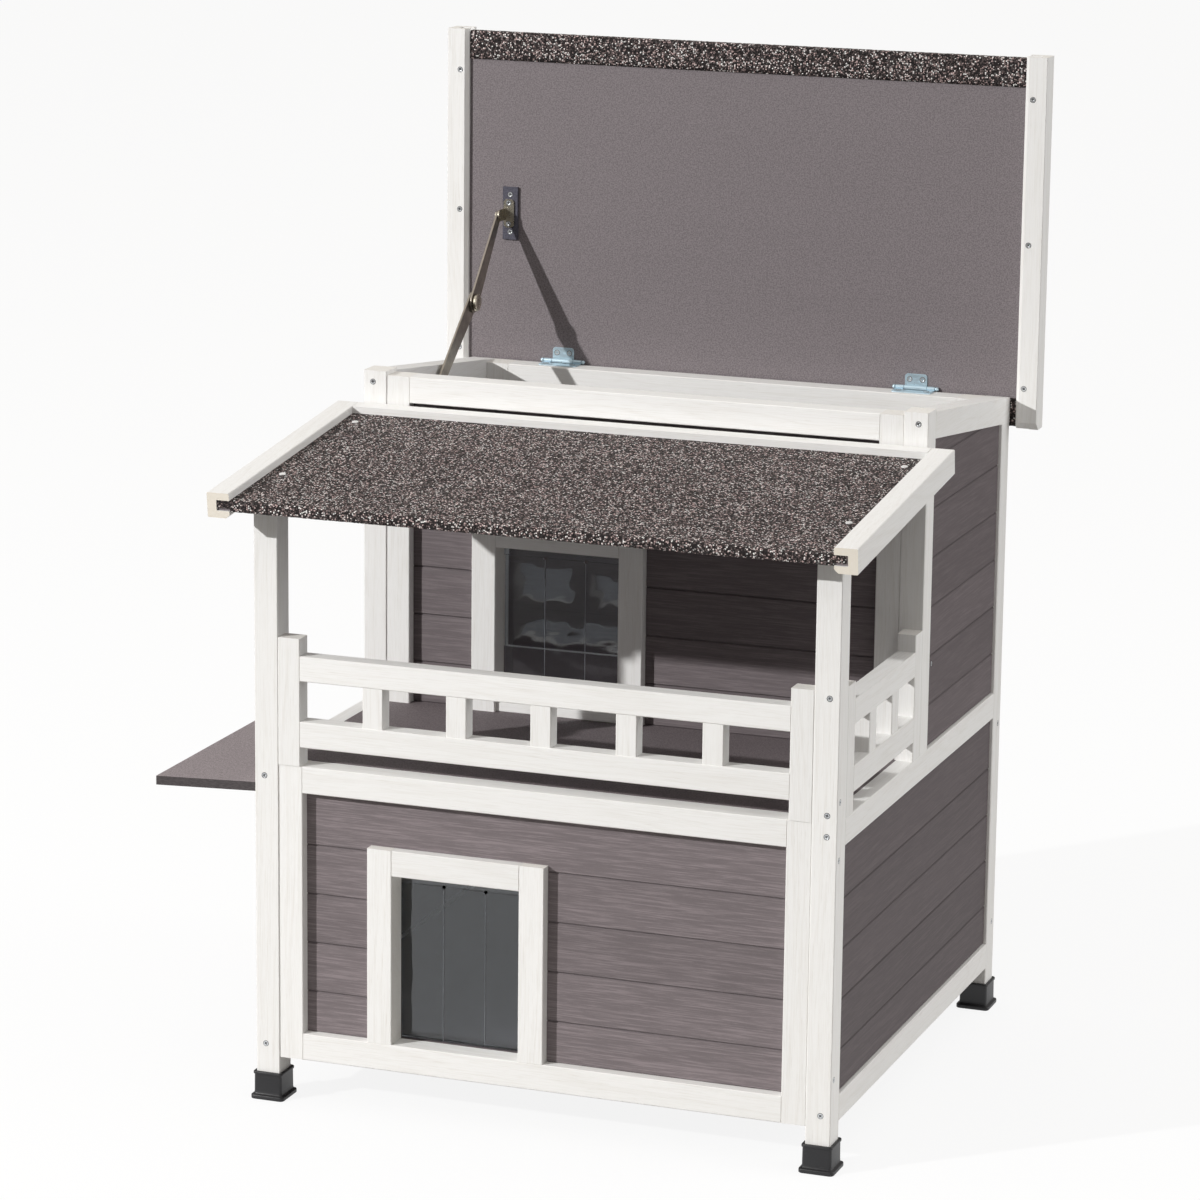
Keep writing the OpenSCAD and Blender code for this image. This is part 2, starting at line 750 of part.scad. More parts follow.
module upper_front_rail() {
    color(white_paint) house()
        timber([stile_l, upper_frame_y, front_rail_top - rail_h],
            [stile_r, upper_frame_y + timber, front_rail_top]);
}

module upper_front_boards() {
    color(grey_paint) house() translate([0, upper_frame_y + front_recess, 0])
        boards_round_door(upper_joints, upper_door_z);
}

module upper_door_frame() {
    color(white_paint) house() door_frame(upper_frame_y, upper_door_z);
}

module upper_threshold() {
    color(white_paint) house()
        timber([door_x, upper_frame_y + (door_d - threshold_d) / 2, floor_z],
            [door_x + door_w, upper_frame_y + (door_d + threshold_d) / 2, floor_z + threshold_h]);
}

// Side view of a sloping rail, and the space above its underside, as [y, z] outlines
function rail_top(y) = rear_h + side_rise * (body_d - y) / side_run;
module across(w) {
    rotate([90, 0, 90]) linear_extrude(w) children();
}

module above_sloping_rail_underside() {
    over = max(rail_top(wall_back), rail_top(body_d)) + rail_h;
    across(timber + 2) polygon([
        [wall_back, rail_top(wall_back) - rail_h], [body_d + 1, rail_top(body_d + 1) - rail_h],
        [body_d + 1, over], [wall_back, over]
    ]);
}

module sloping_rail(x) {
    lo = [x, wall_back, rear_h - rail_h];
    hi = [x + timber, body_d, front_h];
    difference() {
        translate([x, 0, 0]) across(timber) polygon([
            [wall_back, rail_top(wall_back) - rail_h], [body_d, rail_top(body_d) - rail_h],
            [body_d, rail_top(body_d)], [wall_back, rail_top(wall_back)]
        ]);
        for (s = crossing(BODY_SCREWS, lo, hi)) screw_hole(s);
    }
}

module sloping_rail_left() {
    color(white_paint) house() sloping_rail(0);
}

module sloping_rail_right() {
    color(white_paint) house() sloping_rail(inner_r);
}

// Side boards of the upper room, each one cut off under the sloping rail
module upper_side_boards(x, turn) {
    for (i = [0 : len(side_upper_joints) - 2]) difference() {
        translate([x, turn > 0 ? wall_back : rear_y, 0]) rotate([0, 0, turn])
            board(rear_y - wall_back, side_upper_joints, i);
        translate([x - timber / 2 - 1, 0, -fit]) above_sloping_rail_underside();
        for (s = BODY_SCREWS) if (s[0][1] == side_board_screw[0]) screw_hole(s);
    }
}

module upper_side_boards_left() {
    color(grey_paint) house() upper_side_boards(side_recess, -90);
}

module upper_side_boards_right() {
    color(grey_paint) house() upper_side_boards(body_w - side_recess, 90);
}

// Balcony railing along the front and the right side
low_rail = [floor_z + low_rail_z, floor_z + low_rail_z + low_rail_h];
top_rail = [floor_z + top_rail_z, floor_z + top_rail_z + top_rail_h];
rail_x0 = inner_l + rail_post_w;
rail_x1 = inner_r - rail_post_w;
rail_y0 = post_d + rail_post_w;
rail_y1 = wall_y - rail_post_w;
side_rail_x = body_w - rail_post_d;

module balcony_posts() {
    color(white_paint) house() {
        for (x = [inner_l, rail_x1])
            timber([x, 0, floor_z], [x + rail_post_w, rail_post_d, floor_z + rail_post_h]);
        for (y = [post_d, rail_y1])
            timber([side_rail_x, y, floor_z], [body_w, y + rail_post_w, floor_z + rail_post_h]);
    }
}

module balcony_rails() {
    color(white_paint) house() for (level = [low_rail, top_rail]) {
        timber([rail_x0, 0, level[0]], [rail_x1, rail_post_d, level[1]]);
        timber([side_rail_x, rail_y0, level[0]], [body_w, rail_y1, level[1]]);
    }
}

// Balusters stand at equal gaps between the railing posts
module balcony_balusters() {
    set_back = (rail_post_d - baluster_d) / 2;
    front_gap = (rail_x1 - rail_x0 - front_balusters * baluster_w) / (front_balusters + 1);
    side_gap = (rail_y1 - rail_y0 - side_balusters * baluster_w) / (side_balusters + 1);
    color(white_paint) house() {
        for (i = [1 : front_balusters]) {
            x = rail_x0 + i * front_gap + (i - 1) * baluster_w;
            timber([x, set_back, low_rail[1]], [x + baluster_w, set_back + baluster_d, top_rail[0]]);
        }
        for (i = [1 : side_balusters]) {
            y = rail_y0 + i * side_gap + (i - 1) * baluster_w;
            timber([side_rail_x + set_back, y, low_rail[1]],
                [side_rail_x + set_back + baluster_d, y + baluster_w, top_rail[0]]);
        }
    }
}

// Porch roof: its own frame starts at the left batten's front top corner
module porch_frame() {
    translate([-porch_side, -porch_over, porch_eave]) rotate([porch_slope, 0, 0]) children();
}

// Batten section: width to +X, height up from -batten_h, groove open to +X, lower inner edge bevelled
module batten_section() {
    difference() {
        polygon([
            [edge, -batten_h], [batten_w - bevel, -batten_h], [batten_w, bevel - batten_h], [batten_w, -edge],
            [batten_w - edge, 0], [edge, 0], [0, -edge], [0, edge - batten_h]
        ]);
        translate([batten_w - groove_d, lip - batten_h]) square([groove_d + 1, groove_h]);
    }
}

module porch_side_battens() {
    color(white_paint) house() porch_frame() {
        translate([0, porch_l, 0]) rotate([90, 0, 0]) linear_extrude(porch_l) batten_section();
        translate([porch_w, porch_l, 0]) rotate([90, 0, 0]) linear_extrude(porch_l)
            mirror([1, 0]) batten_section();
    }
}

module porch_rear_batten() {
    color(white_paint) house() porch_frame()
        translate([batten_w, porch_l - porch_rear_w, 0]) difference() {
            translate([0, 0, -batten_h]) cube([porch_w - 2 * batten_w, porch_rear_w, batten_h]);
            translate([-1, -1, lip - batten_h])
                cube([porch_w, porch_rear_groove + 1, groove_h]);
        }
}

panel_side = batten_w - groove_d + groove_gap;
porch_panel_front = porch_nose + felt_t;
porch_panel_l = porch_l - porch_rear_w + porch_rear_groove - groove_gap - porch_panel_front;
module porch_panel() {
    color(grey_paint) house() porch_frame() difference() {
        translate([panel_side, porch_panel_front, porch_under])
            cube([porch_w - 2 * panel_side, porch_panel_l, panel_t]);
        nail_holes();
    }
}

// Felt over the porch panel, folded down over the eave and under its front edge
module porch_felt() {
    color(felt_colour) house() porch_frame() difference() {
        union() {
            translate([panel_side, porch_panel_front, porch_panel_top])
                cube([porch_w - 2 * panel_side, porch_panel_l, felt_t]);
            translate([batten_w + fit, 0, 0]) rotate([90, 0, 90])
                linear_extrude(porch_w - 2 * (batten_w + fit)) polygon([
                    [porch_panel_front + felt_fold, porch_under], [porch_panel_front, porch_under],
                    [porch_panel_front, porch_felt_top], [porch_nose, porch_felt_top - felt_t],
                    [porch_nose, porch_under - felt_t], [porch_panel_front + felt_fold, porch_under - felt_t]
                ]);
        }
        nail_holes();
    }
}

// Roof nails, placed by their distance from the front of the house
nail_l = 9;
nail_r = 1.2;
nail_head_r = 3.4;
nail_head_t = 0.8;
module at_nails() {
    for (x = [porch_side + nail_in, porch_w - porch_side - nail_in]) for (y = [nail_front_y, nail_rear_y])
        translate([x, (y + porch_over) / cos(porch_slope), porch_felt_top]) children();
}

module nail_holes() {
    at_nails() translate([0, 0, -nail_l - fit]) cylinder(h = nail_l + 2 * fit, r = nail_r + screw_gap);
}

module roof_nails() {
    color(zinc) house() porch_frame() at_nails() {
        cylinder(h = nail_head_t, r = nail_head_r);
        translate([0, 0, -nail_l]) cylinder(h = nail_l + nail_head_t / 2, r = nail_r);
    }
}

// Lid at rest: open, standing upright behind the rear wall
lid_panel_low = lid_low + lid_inset + felt_t;
lid_panel_high = lid_high - lid_inset - felt_t;
module lid_panel() {
    color(grey_paint) house() difference() {
        translate([panel_side - lid_side, lid_under, lid_panel_low])
            cube([lid_w - 2 * panel_side, panel_t, lid_panel_high - lid_panel_low]);
        for (s = LID_SCREWS) screw_hole(s);
    }
}

// Felt over the lid, folded round its two ends and onto the underside
module lid_felt() {
    x0 = batten_w + fit - lid_side;
    color(felt_colour) house() {
        translate([panel_side - lid_side, lid_under + panel_t, lid_panel_low])
            cube([lid_w - 2 * panel_side, felt_t, lid_panel_high - lid_panel_low]);
        translate([x0, lid_under, lid_panel_high]) cube([body_w - 2 * x0, panel_t + felt_t, felt_t]);
        translate([x0, lid_under, lid_panel_low - felt_t]) cube([body_w - 2 * x0, panel_t + felt_t, felt_t]);
        translate([x0, lid_under - felt_t, lid_panel_high + felt_t - felt_fold])
            cube([body_w - 2 * x0, felt_t, felt_fold]);
        translate([x0, lid_under - felt_t, lid_panel_low - felt_t])
            cube([body_w - 2 * x0, felt_t, felt_fold]);
    }
}

// The lid's batten, seen from above: the batten's height runs along Y; its lower end is bevelled
end_bevel = 8;
module lid_batten() {
    difference() {
        linear_extrude(lid_l) translate([0, batten_h]) batten_section();
        translate([-1, -1, 0]) rotate([90, 0, 90]) linear_extrude(batten_w + 2)
            polygon([[0, 0], [end_bevel + 1, 0], [0, end_bevel + 1]]);
    }
}

module lid_battens() {
    color(white_paint) house() difference() {
        union() {
            translate([-lid_side, batten_front, lid_low]) lid_batten();
            translate([body_w + lid_side, batten_front, lid_low]) mirror([1, 0, 0]) lid_batten();
        }
        for (s = LID_SCREWS) if (s[0][1] == batten_front) screw_hole(s);
    }
}

// Hinges: the lower leaf has a barrel segment at each end, the upper leaf the one between them
module at_hinges() {
    for (x = [hinge_in, body_w - hinge_in]) translate([x, hinge_y, hinge_z]) children();
}

module barrel(x0, x1) {
    translate([x0, 0, 0]) rotate([0, 90, 0]) cylinder(h = x1 - x0, r = barrel_r);
}

module barrel_bore() {
    translate([-hinge_w, 0, 0]) rotate([0, 90, 0]) cylinder(h = 2 * hinge_w, r = pin_r + pin_gap);
}

module hinge_lower_leaves() {
    notch = leaf_w / 2 + barrel_gap;
    color(zinc) house() difference() {
        at_hinges() difference() {
            union() {
                translate([-hinge_w / 2, -leaf_reach, -barrel_r]) cube([hinge_w, leaf_reach, leaf_t]);
                barrel(-hinge_w / 2, -notch);
                barrel(notch, hinge_w / 2);
            }
            barrel_bore();
            translate([-notch, -leaf_cut, -barrel_r - 1]) cube([2 * notch, 2 * leaf_cut, 2 * barrel_r + 2]);
        }
        for (s = HINGE_SCREWS) screw_hole(s);
    }
}

module hinge_upper_leaves() {
    color(zinc) house() difference() {
        at_hinges() difference() {
            union() {
                translate([-leaf_w / 2, barrel_r - leaf_t, 0]) cube([leaf_w, leaf_t, leaf_h]);
                barrel(-leaf_w / 2, leaf_w / 2);
            }
            barrel_bore();
        }
        for (s = LID_SCREWS) if (s[0][1] == lid_under - leaf_t) screw_hole(s);
    }
}

module hinge_pins() {
    color(zinc) house() at_hinges() {
        translate([-hinge_w / 2 - ball_l / 2, 0, 0]) rotate([0, 90, 0])
            cylinder(h = hinge_w + ball_l, r = pin_r);
        for (s = [-1, 1]) translate([s * (hinge_w / 2 + ball_l / 2 + barrel_gap), 0, 0])
            rotate([0, 90, 0]) cylinder(h = ball_l, r = barrel_r - fit, center = true);
    }
}

// Lid stay: from the left the wall plate's post, the lower arm, the upper arm and the knob on it
module along_x(p, x0, x1, r) {
    translate([x0, p[0], p[1]]) rotate([0, 90, 0]) cylinder(h = x1 - x0, r = r);
}

// A flat arm between two pivots: a round end at each of them, and straight edges that touch both
module arm(a, b, x, end_a, end_b) {
    way = (b - a) / norm(b - a);
    side = [-way[1], way[0]];
    lean = (end_b - end_a) / norm(b - a);
    reach = sqrt(1 - lean * lean);
    up = reach * side - lean * way;
    down = -reach * side - lean * way;
    along_x(a, x, x + arm_t, end_a);
    along_x(b, x, x + arm_t, end_b);
    translate([x, 0, 0]) across(arm_t)
        polygon([a + end_a * up, b + end_b * up, b + end_b * down, a + end_a * down]);
}

module stay_screw_holes() {
    for (s = LID_SCREWS) if (s[0][1] <= block_face) screw_hole(s);
}

module stay_block() {
    color(grey_paint) house() difference() {
        translate([block_x - block_w / 2, block_face, block_top - block_h]) cube([block_w, block_t, block_h]);
        stay_screw_holes();
    }
}

// Bracket on the pad: a plate with clipped corners, and an ear along its left edge whose pin, with a
// head at its end, carries the upper arm
module stay_bracket() {
    pin_end = upper_arm_x - arm_gap;
    c = bracket_clip;
    color(zinc) house() difference() {
        union() {
            translate([ear_x, block_face, block_mid - bracket_h / 2]) rotate([90, 0, 0])
                linear_extrude(plate_t) polygon([
                    [c, 0], [bracket_w - c, 0], [bracket_w, c], [bracket_w, bracket_h - c],
                    [bracket_w - c, bracket_h], [c, bracket_h], [0, bracket_h - c], [0, c]
                ]);
            translate([ear_x, stay_lid[0], stay_lid[1] - plate_w / 2])
                cube([plate_t, block_face - plate_t / 2 - stay_lid[0], plate_w]);
            along_x(stay_lid, ear_x, ear_x + plate_t, plate_w / 2);
            along_x(stay_lid, pin_end, ear_x + plate_t / 2, stay_pin_r);
            along_x(stay_lid, pin_end - pin_head_t, pin_end, stay_head_r);
        }
        stay_screw_holes();
    }
}

module stay_upper_arm() {
    color(dark_steel) house() difference() {
        union() {
            arm(stay_lid, stay_knuckle, upper_arm_x, upper_end_r, knuckle_r);
            along_x(stay_knuckle, upper_arm_x + arm_t, upper_arm_x + arm_t + knob_t, knob_r);
        }
        along_x(stay_lid, upper_arm_x - 1, upper_arm_x + arm_t + 1, stay_pin_r + pin_gap);
    }
}

module stay_lower_arm() {
    color(dark_steel) house() difference() {
        arm(stay_wall, stay_knuckle, lower_arm_x, lower_end_r, knuckle_r);
        along_x(stay_wall, lower_arm_x - 1, lower_arm_x + arm_t + 1, stay_pin_r + pin_gap);
    }
}

// Plate on the inside of the left sloping rail, with a post whose pin ends flush with the lower arm
module stay_wall_plate() {
    post_end = lower_arm_x - arm_gap;
    color(zinc) house() difference() {
        union() {
            translate([inner_l, stay_wall[0] - plate_w / 2, stay_wall[1] - plate_w / 2])
                cube([plate_t, plate_w, wall_plate_h]);
            along_x(stay_wall, inner_l, post_end, stay_head_r);
            along_x(stay_wall, post_end, lower_arm_x + arm_t, stay_pin_r);
        }
        for (s = PLATE_SCREWS) screw_hole(s);
    }
}

// Shelf on the left side: a plank whose outer edge drops a little, on a cleat against the boards
shelf_gap = 0.5;
shelf_y = post_d + shelf_gap;
shelf_top = mid_rail_z - 2 * shelf_gap;
shelf_fall = shelf_drop / (shelf_out + side_recess);
module shelf() {
    color(grey_paint) house() translate([0, shelf_y + shelf_l, 0]) rotate([90, 0, 0])
        linear_extrude(shelf_l) polygon([
            [side_recess, shelf_top], [-shelf_out, shelf_top - shelf_drop],
            [-shelf_out, shelf_top - shelf_drop - shelf_t], [side_recess, shelf_top - shelf_t]
        ]);
}

module shelf_cleat() {
    under = shelf_top - shelf_t;
    color(white_paint) house() translate([0, shelf_y + (shelf_l + cleat_l) / 2, 0]) rotate([90, 0, 0])
        linear_extrude(cleat_l) polygon([
            [side_recess, under], [side_recess - cleat, under - cleat * shelf_fall],
            [side_recess - cleat, under - cleat], [side_recess, under - cleat]
        ]);
}

// Door flaps: three strips hang under the uncut band of the same sheet
module flap(y, z, i, foot) {
    x = door_x + slit + i * (strip_w + slit);
    color(clear_sheet) house() translate([x, y, z + foot])
        cube([strip_w, flap_t, flap_top - foot]);
}

module lower_flap_left() {
    flap(lower_flap_y, lower_door_z, 0, flap_foot);
}

module lower_flap_middle() {
    flap(lower_flap_y, lower_door_z, 1, flap_foot);
}

module lower_flap_right() {
    flap(lower_flap_y, lower_door_z, 2, flap_foot);
}

module upper_flap_left() {
    flap(upper_flap_y, upper_door_z, 0, threshold_h + flap_foot);
}

module upper_flap_middle() {
    flap(upper_flap_y, upper_door_z, 1, threshold_h + flap_foot);
}

module upper_flap_right() {
    flap(upper_flap_y, upper_door_z, 2, threshold_h + flap_foot);
}

DOORWAYS = [[lower_flap_y, lower_door_z], [upper_flap_y, upper_door_z]];
module flap_bands() {
    color(clear_sheet) house() difference() {
        for (d = DOORWAYS)
            translate([door_x - band_side, d[0], d[1] + door_h - band_drop])
                cube([door_w + 2 * band_side, flap_t, band_drop + band_rise]);
        for (s = CLAMP_SCREWS) screw_hole(s);
    }
}

module flap_clamps() {
    color(white_paint) house() for (d = DOORWAYS)
        timber([door_x - band_side, d[0] + flap_t, d[1] + door_h + clamp_up],
            [door_x + door_w + band_side, d[0] + flap_t + clamp_t, d[1] + door_h + clamp_up + clamp_h]);
}

module wood_screws() {
    color(zinc) house() for (s = BODY_SCREWS) screw(s);
}

module lid_screws() {
    color(zinc) house() for (s = LID_SCREWS) screw(s);
}

post_front_left();
post_front_right();
post_rear_left();
post_rear_right();
post_upper_left();
post_upper_right();
feet();
lower_front_stiles();
lower_front_rails();
lower_front_boards();
lower_door_frame();
lower_side_rails_left();
lower_side_rails_right();
lower_side_boards_left();
lower_side_boards_right();
rear_stiles();
rear_rails();
rear_boards();
lower_floor();
upper_floor();
upper_front_stiles();
upper_front_rail();
upper_front_boards();
upper_door_frame();
upper_threshold();
sloping_rail_left();
sloping_rail_right();
upper_side_boards_left();
upper_side_boards_right();
balcony_posts();
balcony_rails();
balcony_balusters();
porch_panel();
porch_felt();
porch_side_battens();
porch_rear_batten();
lid_panel();
lid_felt();
lid_battens();
hinge_lower_leaves();
hinge_upper_leaves();
hinge_pins();
stay_block();
stay_bracket();
stay_upper_arm();
stay_lower_arm();
stay_wall_plate();
shelf();
shelf_cleat();
lower_flap_left();
lower_flap_middle();
lower_flap_right();
upper_flap_left();
upper_flap_middle();
upper_flap_right();
flap_bands();
flap_clamps();
wood_screws();
lid_screws();
roof_nails();
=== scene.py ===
"""Finishes a two-storey cat house with a railed balcony, a felted porch roof and a hinged lid.

The solids come from the fixed frame. Timbers, boards, panels and screws keep their solids and get
detailed finishes; felt, flaps, feet, hinges and the lid's stay are modelled here as computed surfaces.
"""
import json
import math

import bpy
import numpy as np
from bpy.props import FloatProperty, FloatVectorProperty, IntProperty, PointerProperty
from mathutils import Matrix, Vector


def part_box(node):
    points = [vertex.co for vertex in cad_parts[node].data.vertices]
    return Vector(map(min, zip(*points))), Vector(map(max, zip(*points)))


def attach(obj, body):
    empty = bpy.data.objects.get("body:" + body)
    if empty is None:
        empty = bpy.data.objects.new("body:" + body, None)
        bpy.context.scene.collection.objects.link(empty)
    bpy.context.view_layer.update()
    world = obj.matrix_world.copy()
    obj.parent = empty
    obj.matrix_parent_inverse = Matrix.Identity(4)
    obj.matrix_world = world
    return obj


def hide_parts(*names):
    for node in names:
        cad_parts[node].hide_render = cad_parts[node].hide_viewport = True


bl_info = {
    "name": "Cat house finisher",
    "version": (1, 0, 0),
    "blender": (4, 5, 0),
    "location": "View3D > Sidebar > Cat house",
    "description": "Finishes the frame of a wooden cat house with its timbers, felt, flaps and fittings",
    "category": "Object",
}

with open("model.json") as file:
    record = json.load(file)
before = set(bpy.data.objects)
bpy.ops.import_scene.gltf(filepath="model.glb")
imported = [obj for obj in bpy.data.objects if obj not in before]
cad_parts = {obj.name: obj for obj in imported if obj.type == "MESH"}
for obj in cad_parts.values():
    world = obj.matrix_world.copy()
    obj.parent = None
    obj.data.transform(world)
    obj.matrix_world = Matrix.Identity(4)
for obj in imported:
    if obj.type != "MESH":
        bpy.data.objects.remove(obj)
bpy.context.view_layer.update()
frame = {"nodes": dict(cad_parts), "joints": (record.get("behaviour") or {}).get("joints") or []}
MM = 0.001


def span(node):
    """Lowest and highest corner of a CAD node as two arrays."""
    low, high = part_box(node)
    return np.array(low), np.array(high)


def pivot(joint):
    """Place of a joint's axis as an array."""
    return np.array(next(j["pos_m"] for j in frame["joints"] if j["name"] == joint))


def colour(name, description, rgb):
    """A colour property with its default."""
    return FloatVectorProperty(
        name=name, description=description, default=rgb, size=3,
        subtype="COLOR", min=0, max=1)


def length(name, description, metres):
    """A length property with its default in metres."""
    return FloatProperty(name=name, description=description, default=metres, min=0,
                         subtype="DISTANCE", unit="LENGTH", precision=5)


class CatHouseSizes(bpy.types.PropertyGroup):
    """Sizes of the modelled pieces and of the patterns in the finishes."""

    felt_fold: length("Felt fold", "Width of the felt that is folded under at an edge", 0.030)
    felt_rough: length("Felt roughness", "How far the felt's granules break its edges", 0.00035)
    granule: length("Granule", "Size of a granule on the felt", 0.0017)
    flap_wave: length("Flap wave", "How far a flap strip bows out of its plane", 0.0006)
    flap_hole: length("Flap hole", "Radius of the round hole at the top of a slit", 0.0021)
    fibre: length("Fibre", "Width of the fibres in the timber's grain", 0.0011)
    ring: length("Growth ring", "Spacing of the growth rings in the grain", 0.0075)
    foot_corner: length("Foot corner", "Radius of the upright corners of a foot", 0.0032)
    leaf_corner: length("Leaf corner", "Radius of the corners of a hinge leaf", 0.0034)
    knob_dome: length("Knob dome", "Height of the dome on the stay's knob", 0.0016)
    segments: IntProperty(
        name="Segments", description="Points round a round part", default=40,
        min=16, max=96)
    lens: FloatProperty(name="Lens", description="Focal length of the camera", default=138.757,
                        min=20, max=400, subtype="DISTANCE_CAMERA")


class CatHouseColours(bpy.types.PropertyGroup):
    """Colours of the finishes."""

    white: colour("White stain", "White-washed softwood", (0.86, 0.857, 0.848))
    grain: colour("Grain", "Softwood that shows through the stain", (0.69, 0.665, 0.62))
    end_grain: colour("End grain", "Bare end of a timber", (0.80, 0.74, 0.64))
    boards: colour("Boards", "Mauve-grey paint on the boards", (0.176, 0.150, 0.157))
    panel: colour("Panels", "Mauve-grey paint on the plywood", (0.208, 0.183, 0.193))
    shelf: colour("Shelf", "Paler paint on the side shelf", (0.300, 0.262, 0.272))
    pad: colour("Pad", "Slate paint on the pad of the stay", (0.085, 0.083, 0.110))
    felt_dark: colour("Dark granules", "Darkest granules on the felt", (0.020, 0.014, 0.014))
    felt_brown: colour("Brown granules", "Most of the felt's granules", (0.150, 0.112, 0.108))
    felt_pale: colour("Pale granules", "Palest granules on the felt", (0.95, 0.86, 0.84))
    plastic: colour("Foot plastic", "Moulded plastic of the feet", (0.012, 0.012, 0.014))
    zinc: colour("Blue zinc", "Passivated zinc of the hinges", (0.56, 0.71, 0.80))
    steel: colour("Stay steel", "Dull plating of the stay's arms", (0.40, 0.36, 0.31))
    bracket: colour("Bracket steel", "Plating of the stay's bracket", (0.62, 0.57, 0.47))
    screw: colour("Screw steel", "Zinc plating of the screws", (0.66, 0.68, 0.70))
    nail: colour("Nail steel", "Galvanized nails of the roof", (0.86, 0.86, 0.86))
    sheet: colour("Clear sheet", "Tint of the clear flap sheet", (0.74, 0.80, 0.86))
    floor: colour("Floor", "Studio floor", (0.50, 0.49, 0.475))


def sizes():
    return bpy.context.scene.cat_house_sizes


def colours():
    return bpy.context.scene.cat_house_colours


# Shader maths


def operator(operation):
    """The method of a Value that stands for one of Python's operators."""
    return lambda self, *others: self.math(operation, *others)


class Value:
    """A socket whose value takes part in expressions; each operator adds a Math node."""

    def __init__(self, paint, socket):
        self.paint, self.socket = paint, socket

    def math(self, operation, *others):
        return self.paint.maths(operation, self, *others)

    __add__ = __radd__ = operator("ADD")
    __mul__ = __rmul__ = operator("MULTIPLY")
    __sub__, __truediv__ = operator("SUBTRACT"), operator("DIVIDE")
    __gt__, __lt__ = operator("GREATER_THAN"), operator("LESS_THAN")
    __abs__ = operator("ABSOLUTE")

    def __rsub__(self, other):
        return self.paint.maths("SUBTRACT", other, self)

    def between(self, low, high):
        """0 at low and 1 at high, eased."""
        return self.paint.node("MapRange", {"interpolation_type": "SMOOTHSTEP"},
                               {"Value": self, "From Min": low, "From Max": high})


class Paint:
    """A material, or the world, whose nodes are all added by one method."""

    def __init__(self, name, owner=None):
        self.material = owner or bpy.data.materials.new(name)
        self.material.use_nodes = True
        self.tree = self.material.node_tree
        self.tree.nodes.clear()
        self.place = self.node("TexCoord", {}, {}, "Object")

    def node(self, kind, settings, inputs, out=0):
        """Adds a node of a kind, makes its settings, then sets or links its sockets."""
        made = self.tree.nodes.new("ShaderNode" + kind)
        for key, setting in settings.items():
            if key == "stops":
                ramp = made.color_ramp
                while len(ramp.elements) < len(setting):
                    ramp.elements.new(1)
                for element, (at, rgb) in zip(ramp.elements, setting):
                    element.position = at
                    element.color = (*rgb, 1)
            elif key == "ramp":
                made.color_ramp.interpolation = setting
            else:
                setattr(made, key, setting)
        for key, value in inputs.items():
            if isinstance(value, Value):
                self.tree.links.new(value.socket, made.inputs[key])
            else:
                made.inputs[key].default_value = value
        return Value(self, made.outputs[out]) if len(made.outputs) else made

    def axes(self, vector=None):
        """The three parts of a vector, by default of the place on the object."""
        split = self.node("SeparateXYZ", {}, {0: vector or self.place})
        return [Value(self, socket) for socket in split.socket.node.outputs]

    def vector(self, x, y, z):
        return self.node("CombineXYZ", {}, {0: x, 1: y, 2: z})

    def maths(self, operation, *values):
        return self.node("Math", {"operation": operation}, dict(enumerate(values)))

    def mix(self, share, a, b, blend="MIX"):
        """Colour a goes over to colour b."""
        a, b = ((*c, 1) if isinstance(c, tuple) else c for c in (a, b))
        return self.node("Mix", {"data_type": "RGBA", "blend_type": blend}, {0: share, 6: a, 7: b}, 2)

    def coats(self, base, *coats):
        """Lays each (share, colour) over the colour before."""
        for share, over in coats:
            base = self.mix(share, base, over)
        return base

    def level(self, base, level):
        """A colour times a grey level."""
        return self.mix(1.0, base, self.vector(level, level, level), "MULTIPLY")

    def noise(self, vector, scale, detail=3.0, roughness=0.5):
        return self.node("TexNoise", {}, {
            "Vector": vector, "Scale": scale, "Detail": detail,
            "Roughness": roughness})

    def drawn(self, x, y, z, detail=3.0, roughness=0.5):
        """Noise over a place whose parts are stretched one by one, so that it runs in streaks."""
        return self.noise(self.vector(x, y, z), 1.0, detail, roughness)

    def chance(self, value):
        """A steady random number from a number."""
        return self.node("TexWhiteNoise", {"noise_dimensions": "1D"}, {"W": value})

    def faces(self):
        """The parts of the face's direction, without sign."""
        normal = self.node("NewGeometry", {}, {}, "True Normal")
        return [abs(part) for part in self.axes(normal)]

    def done(self, base, rough, height, depth, strength, more=()):
        """Closes the material with one shader over a bumped surface; more holds its other inputs."""
        normal = self.node("Bump", {}, {"Height": height, "Distance": depth, "Strength": strength})
        shader = self.node("BsdfPrincipled", {}, {
            "Base Color": base, "Roughness": rough,
            "Normal": normal, **dict(more)})
        self.node("OutputMaterial", {}, {"Surface": shader})
        return self.material


def hue(name, factor=1.0):
    """A named colour, made darker or paler by a factor."""
    return tuple(min(1.0, part * factor) for part in getattr(colours(), name))


def end_share(facing):
    """1 on the faces that look along the grain."""
    return facing.between(0.85, 0.95)


MATT = {"Specular IOR Level": 0.3}
SATIN = {"Specular IOR Level": 0.35}


def run_axes(paint, along):
    """Orders the place on the object as (across, across, along the grain), with the face's part along it.

    along is an axis letter, or (axis, other axis, test): where the test on the place is 1, the grain
    runs along the other axis."""
    x, y, z = paint.axes()
    nx, ny, nz = paint.faces()
    order = {"X": (y, z, x, nx), "Y": (x, z, y, ny), "Z": (x, y, z, nz)}
    if isinstance(along, str):
        return order[along]
    first, second, test = along
    share = test(x, y, z)
    return tuple(a + share * (b - a) for a, b in zip(order[first], order[second]))


def edge_share(paint):
    """1 on eased edges, whose faces look along no axis."""
    nx, ny, nz = paint.faces()
    return nx.math("MAXIMUM", ny).math("MAXIMUM", nz) < 0.93


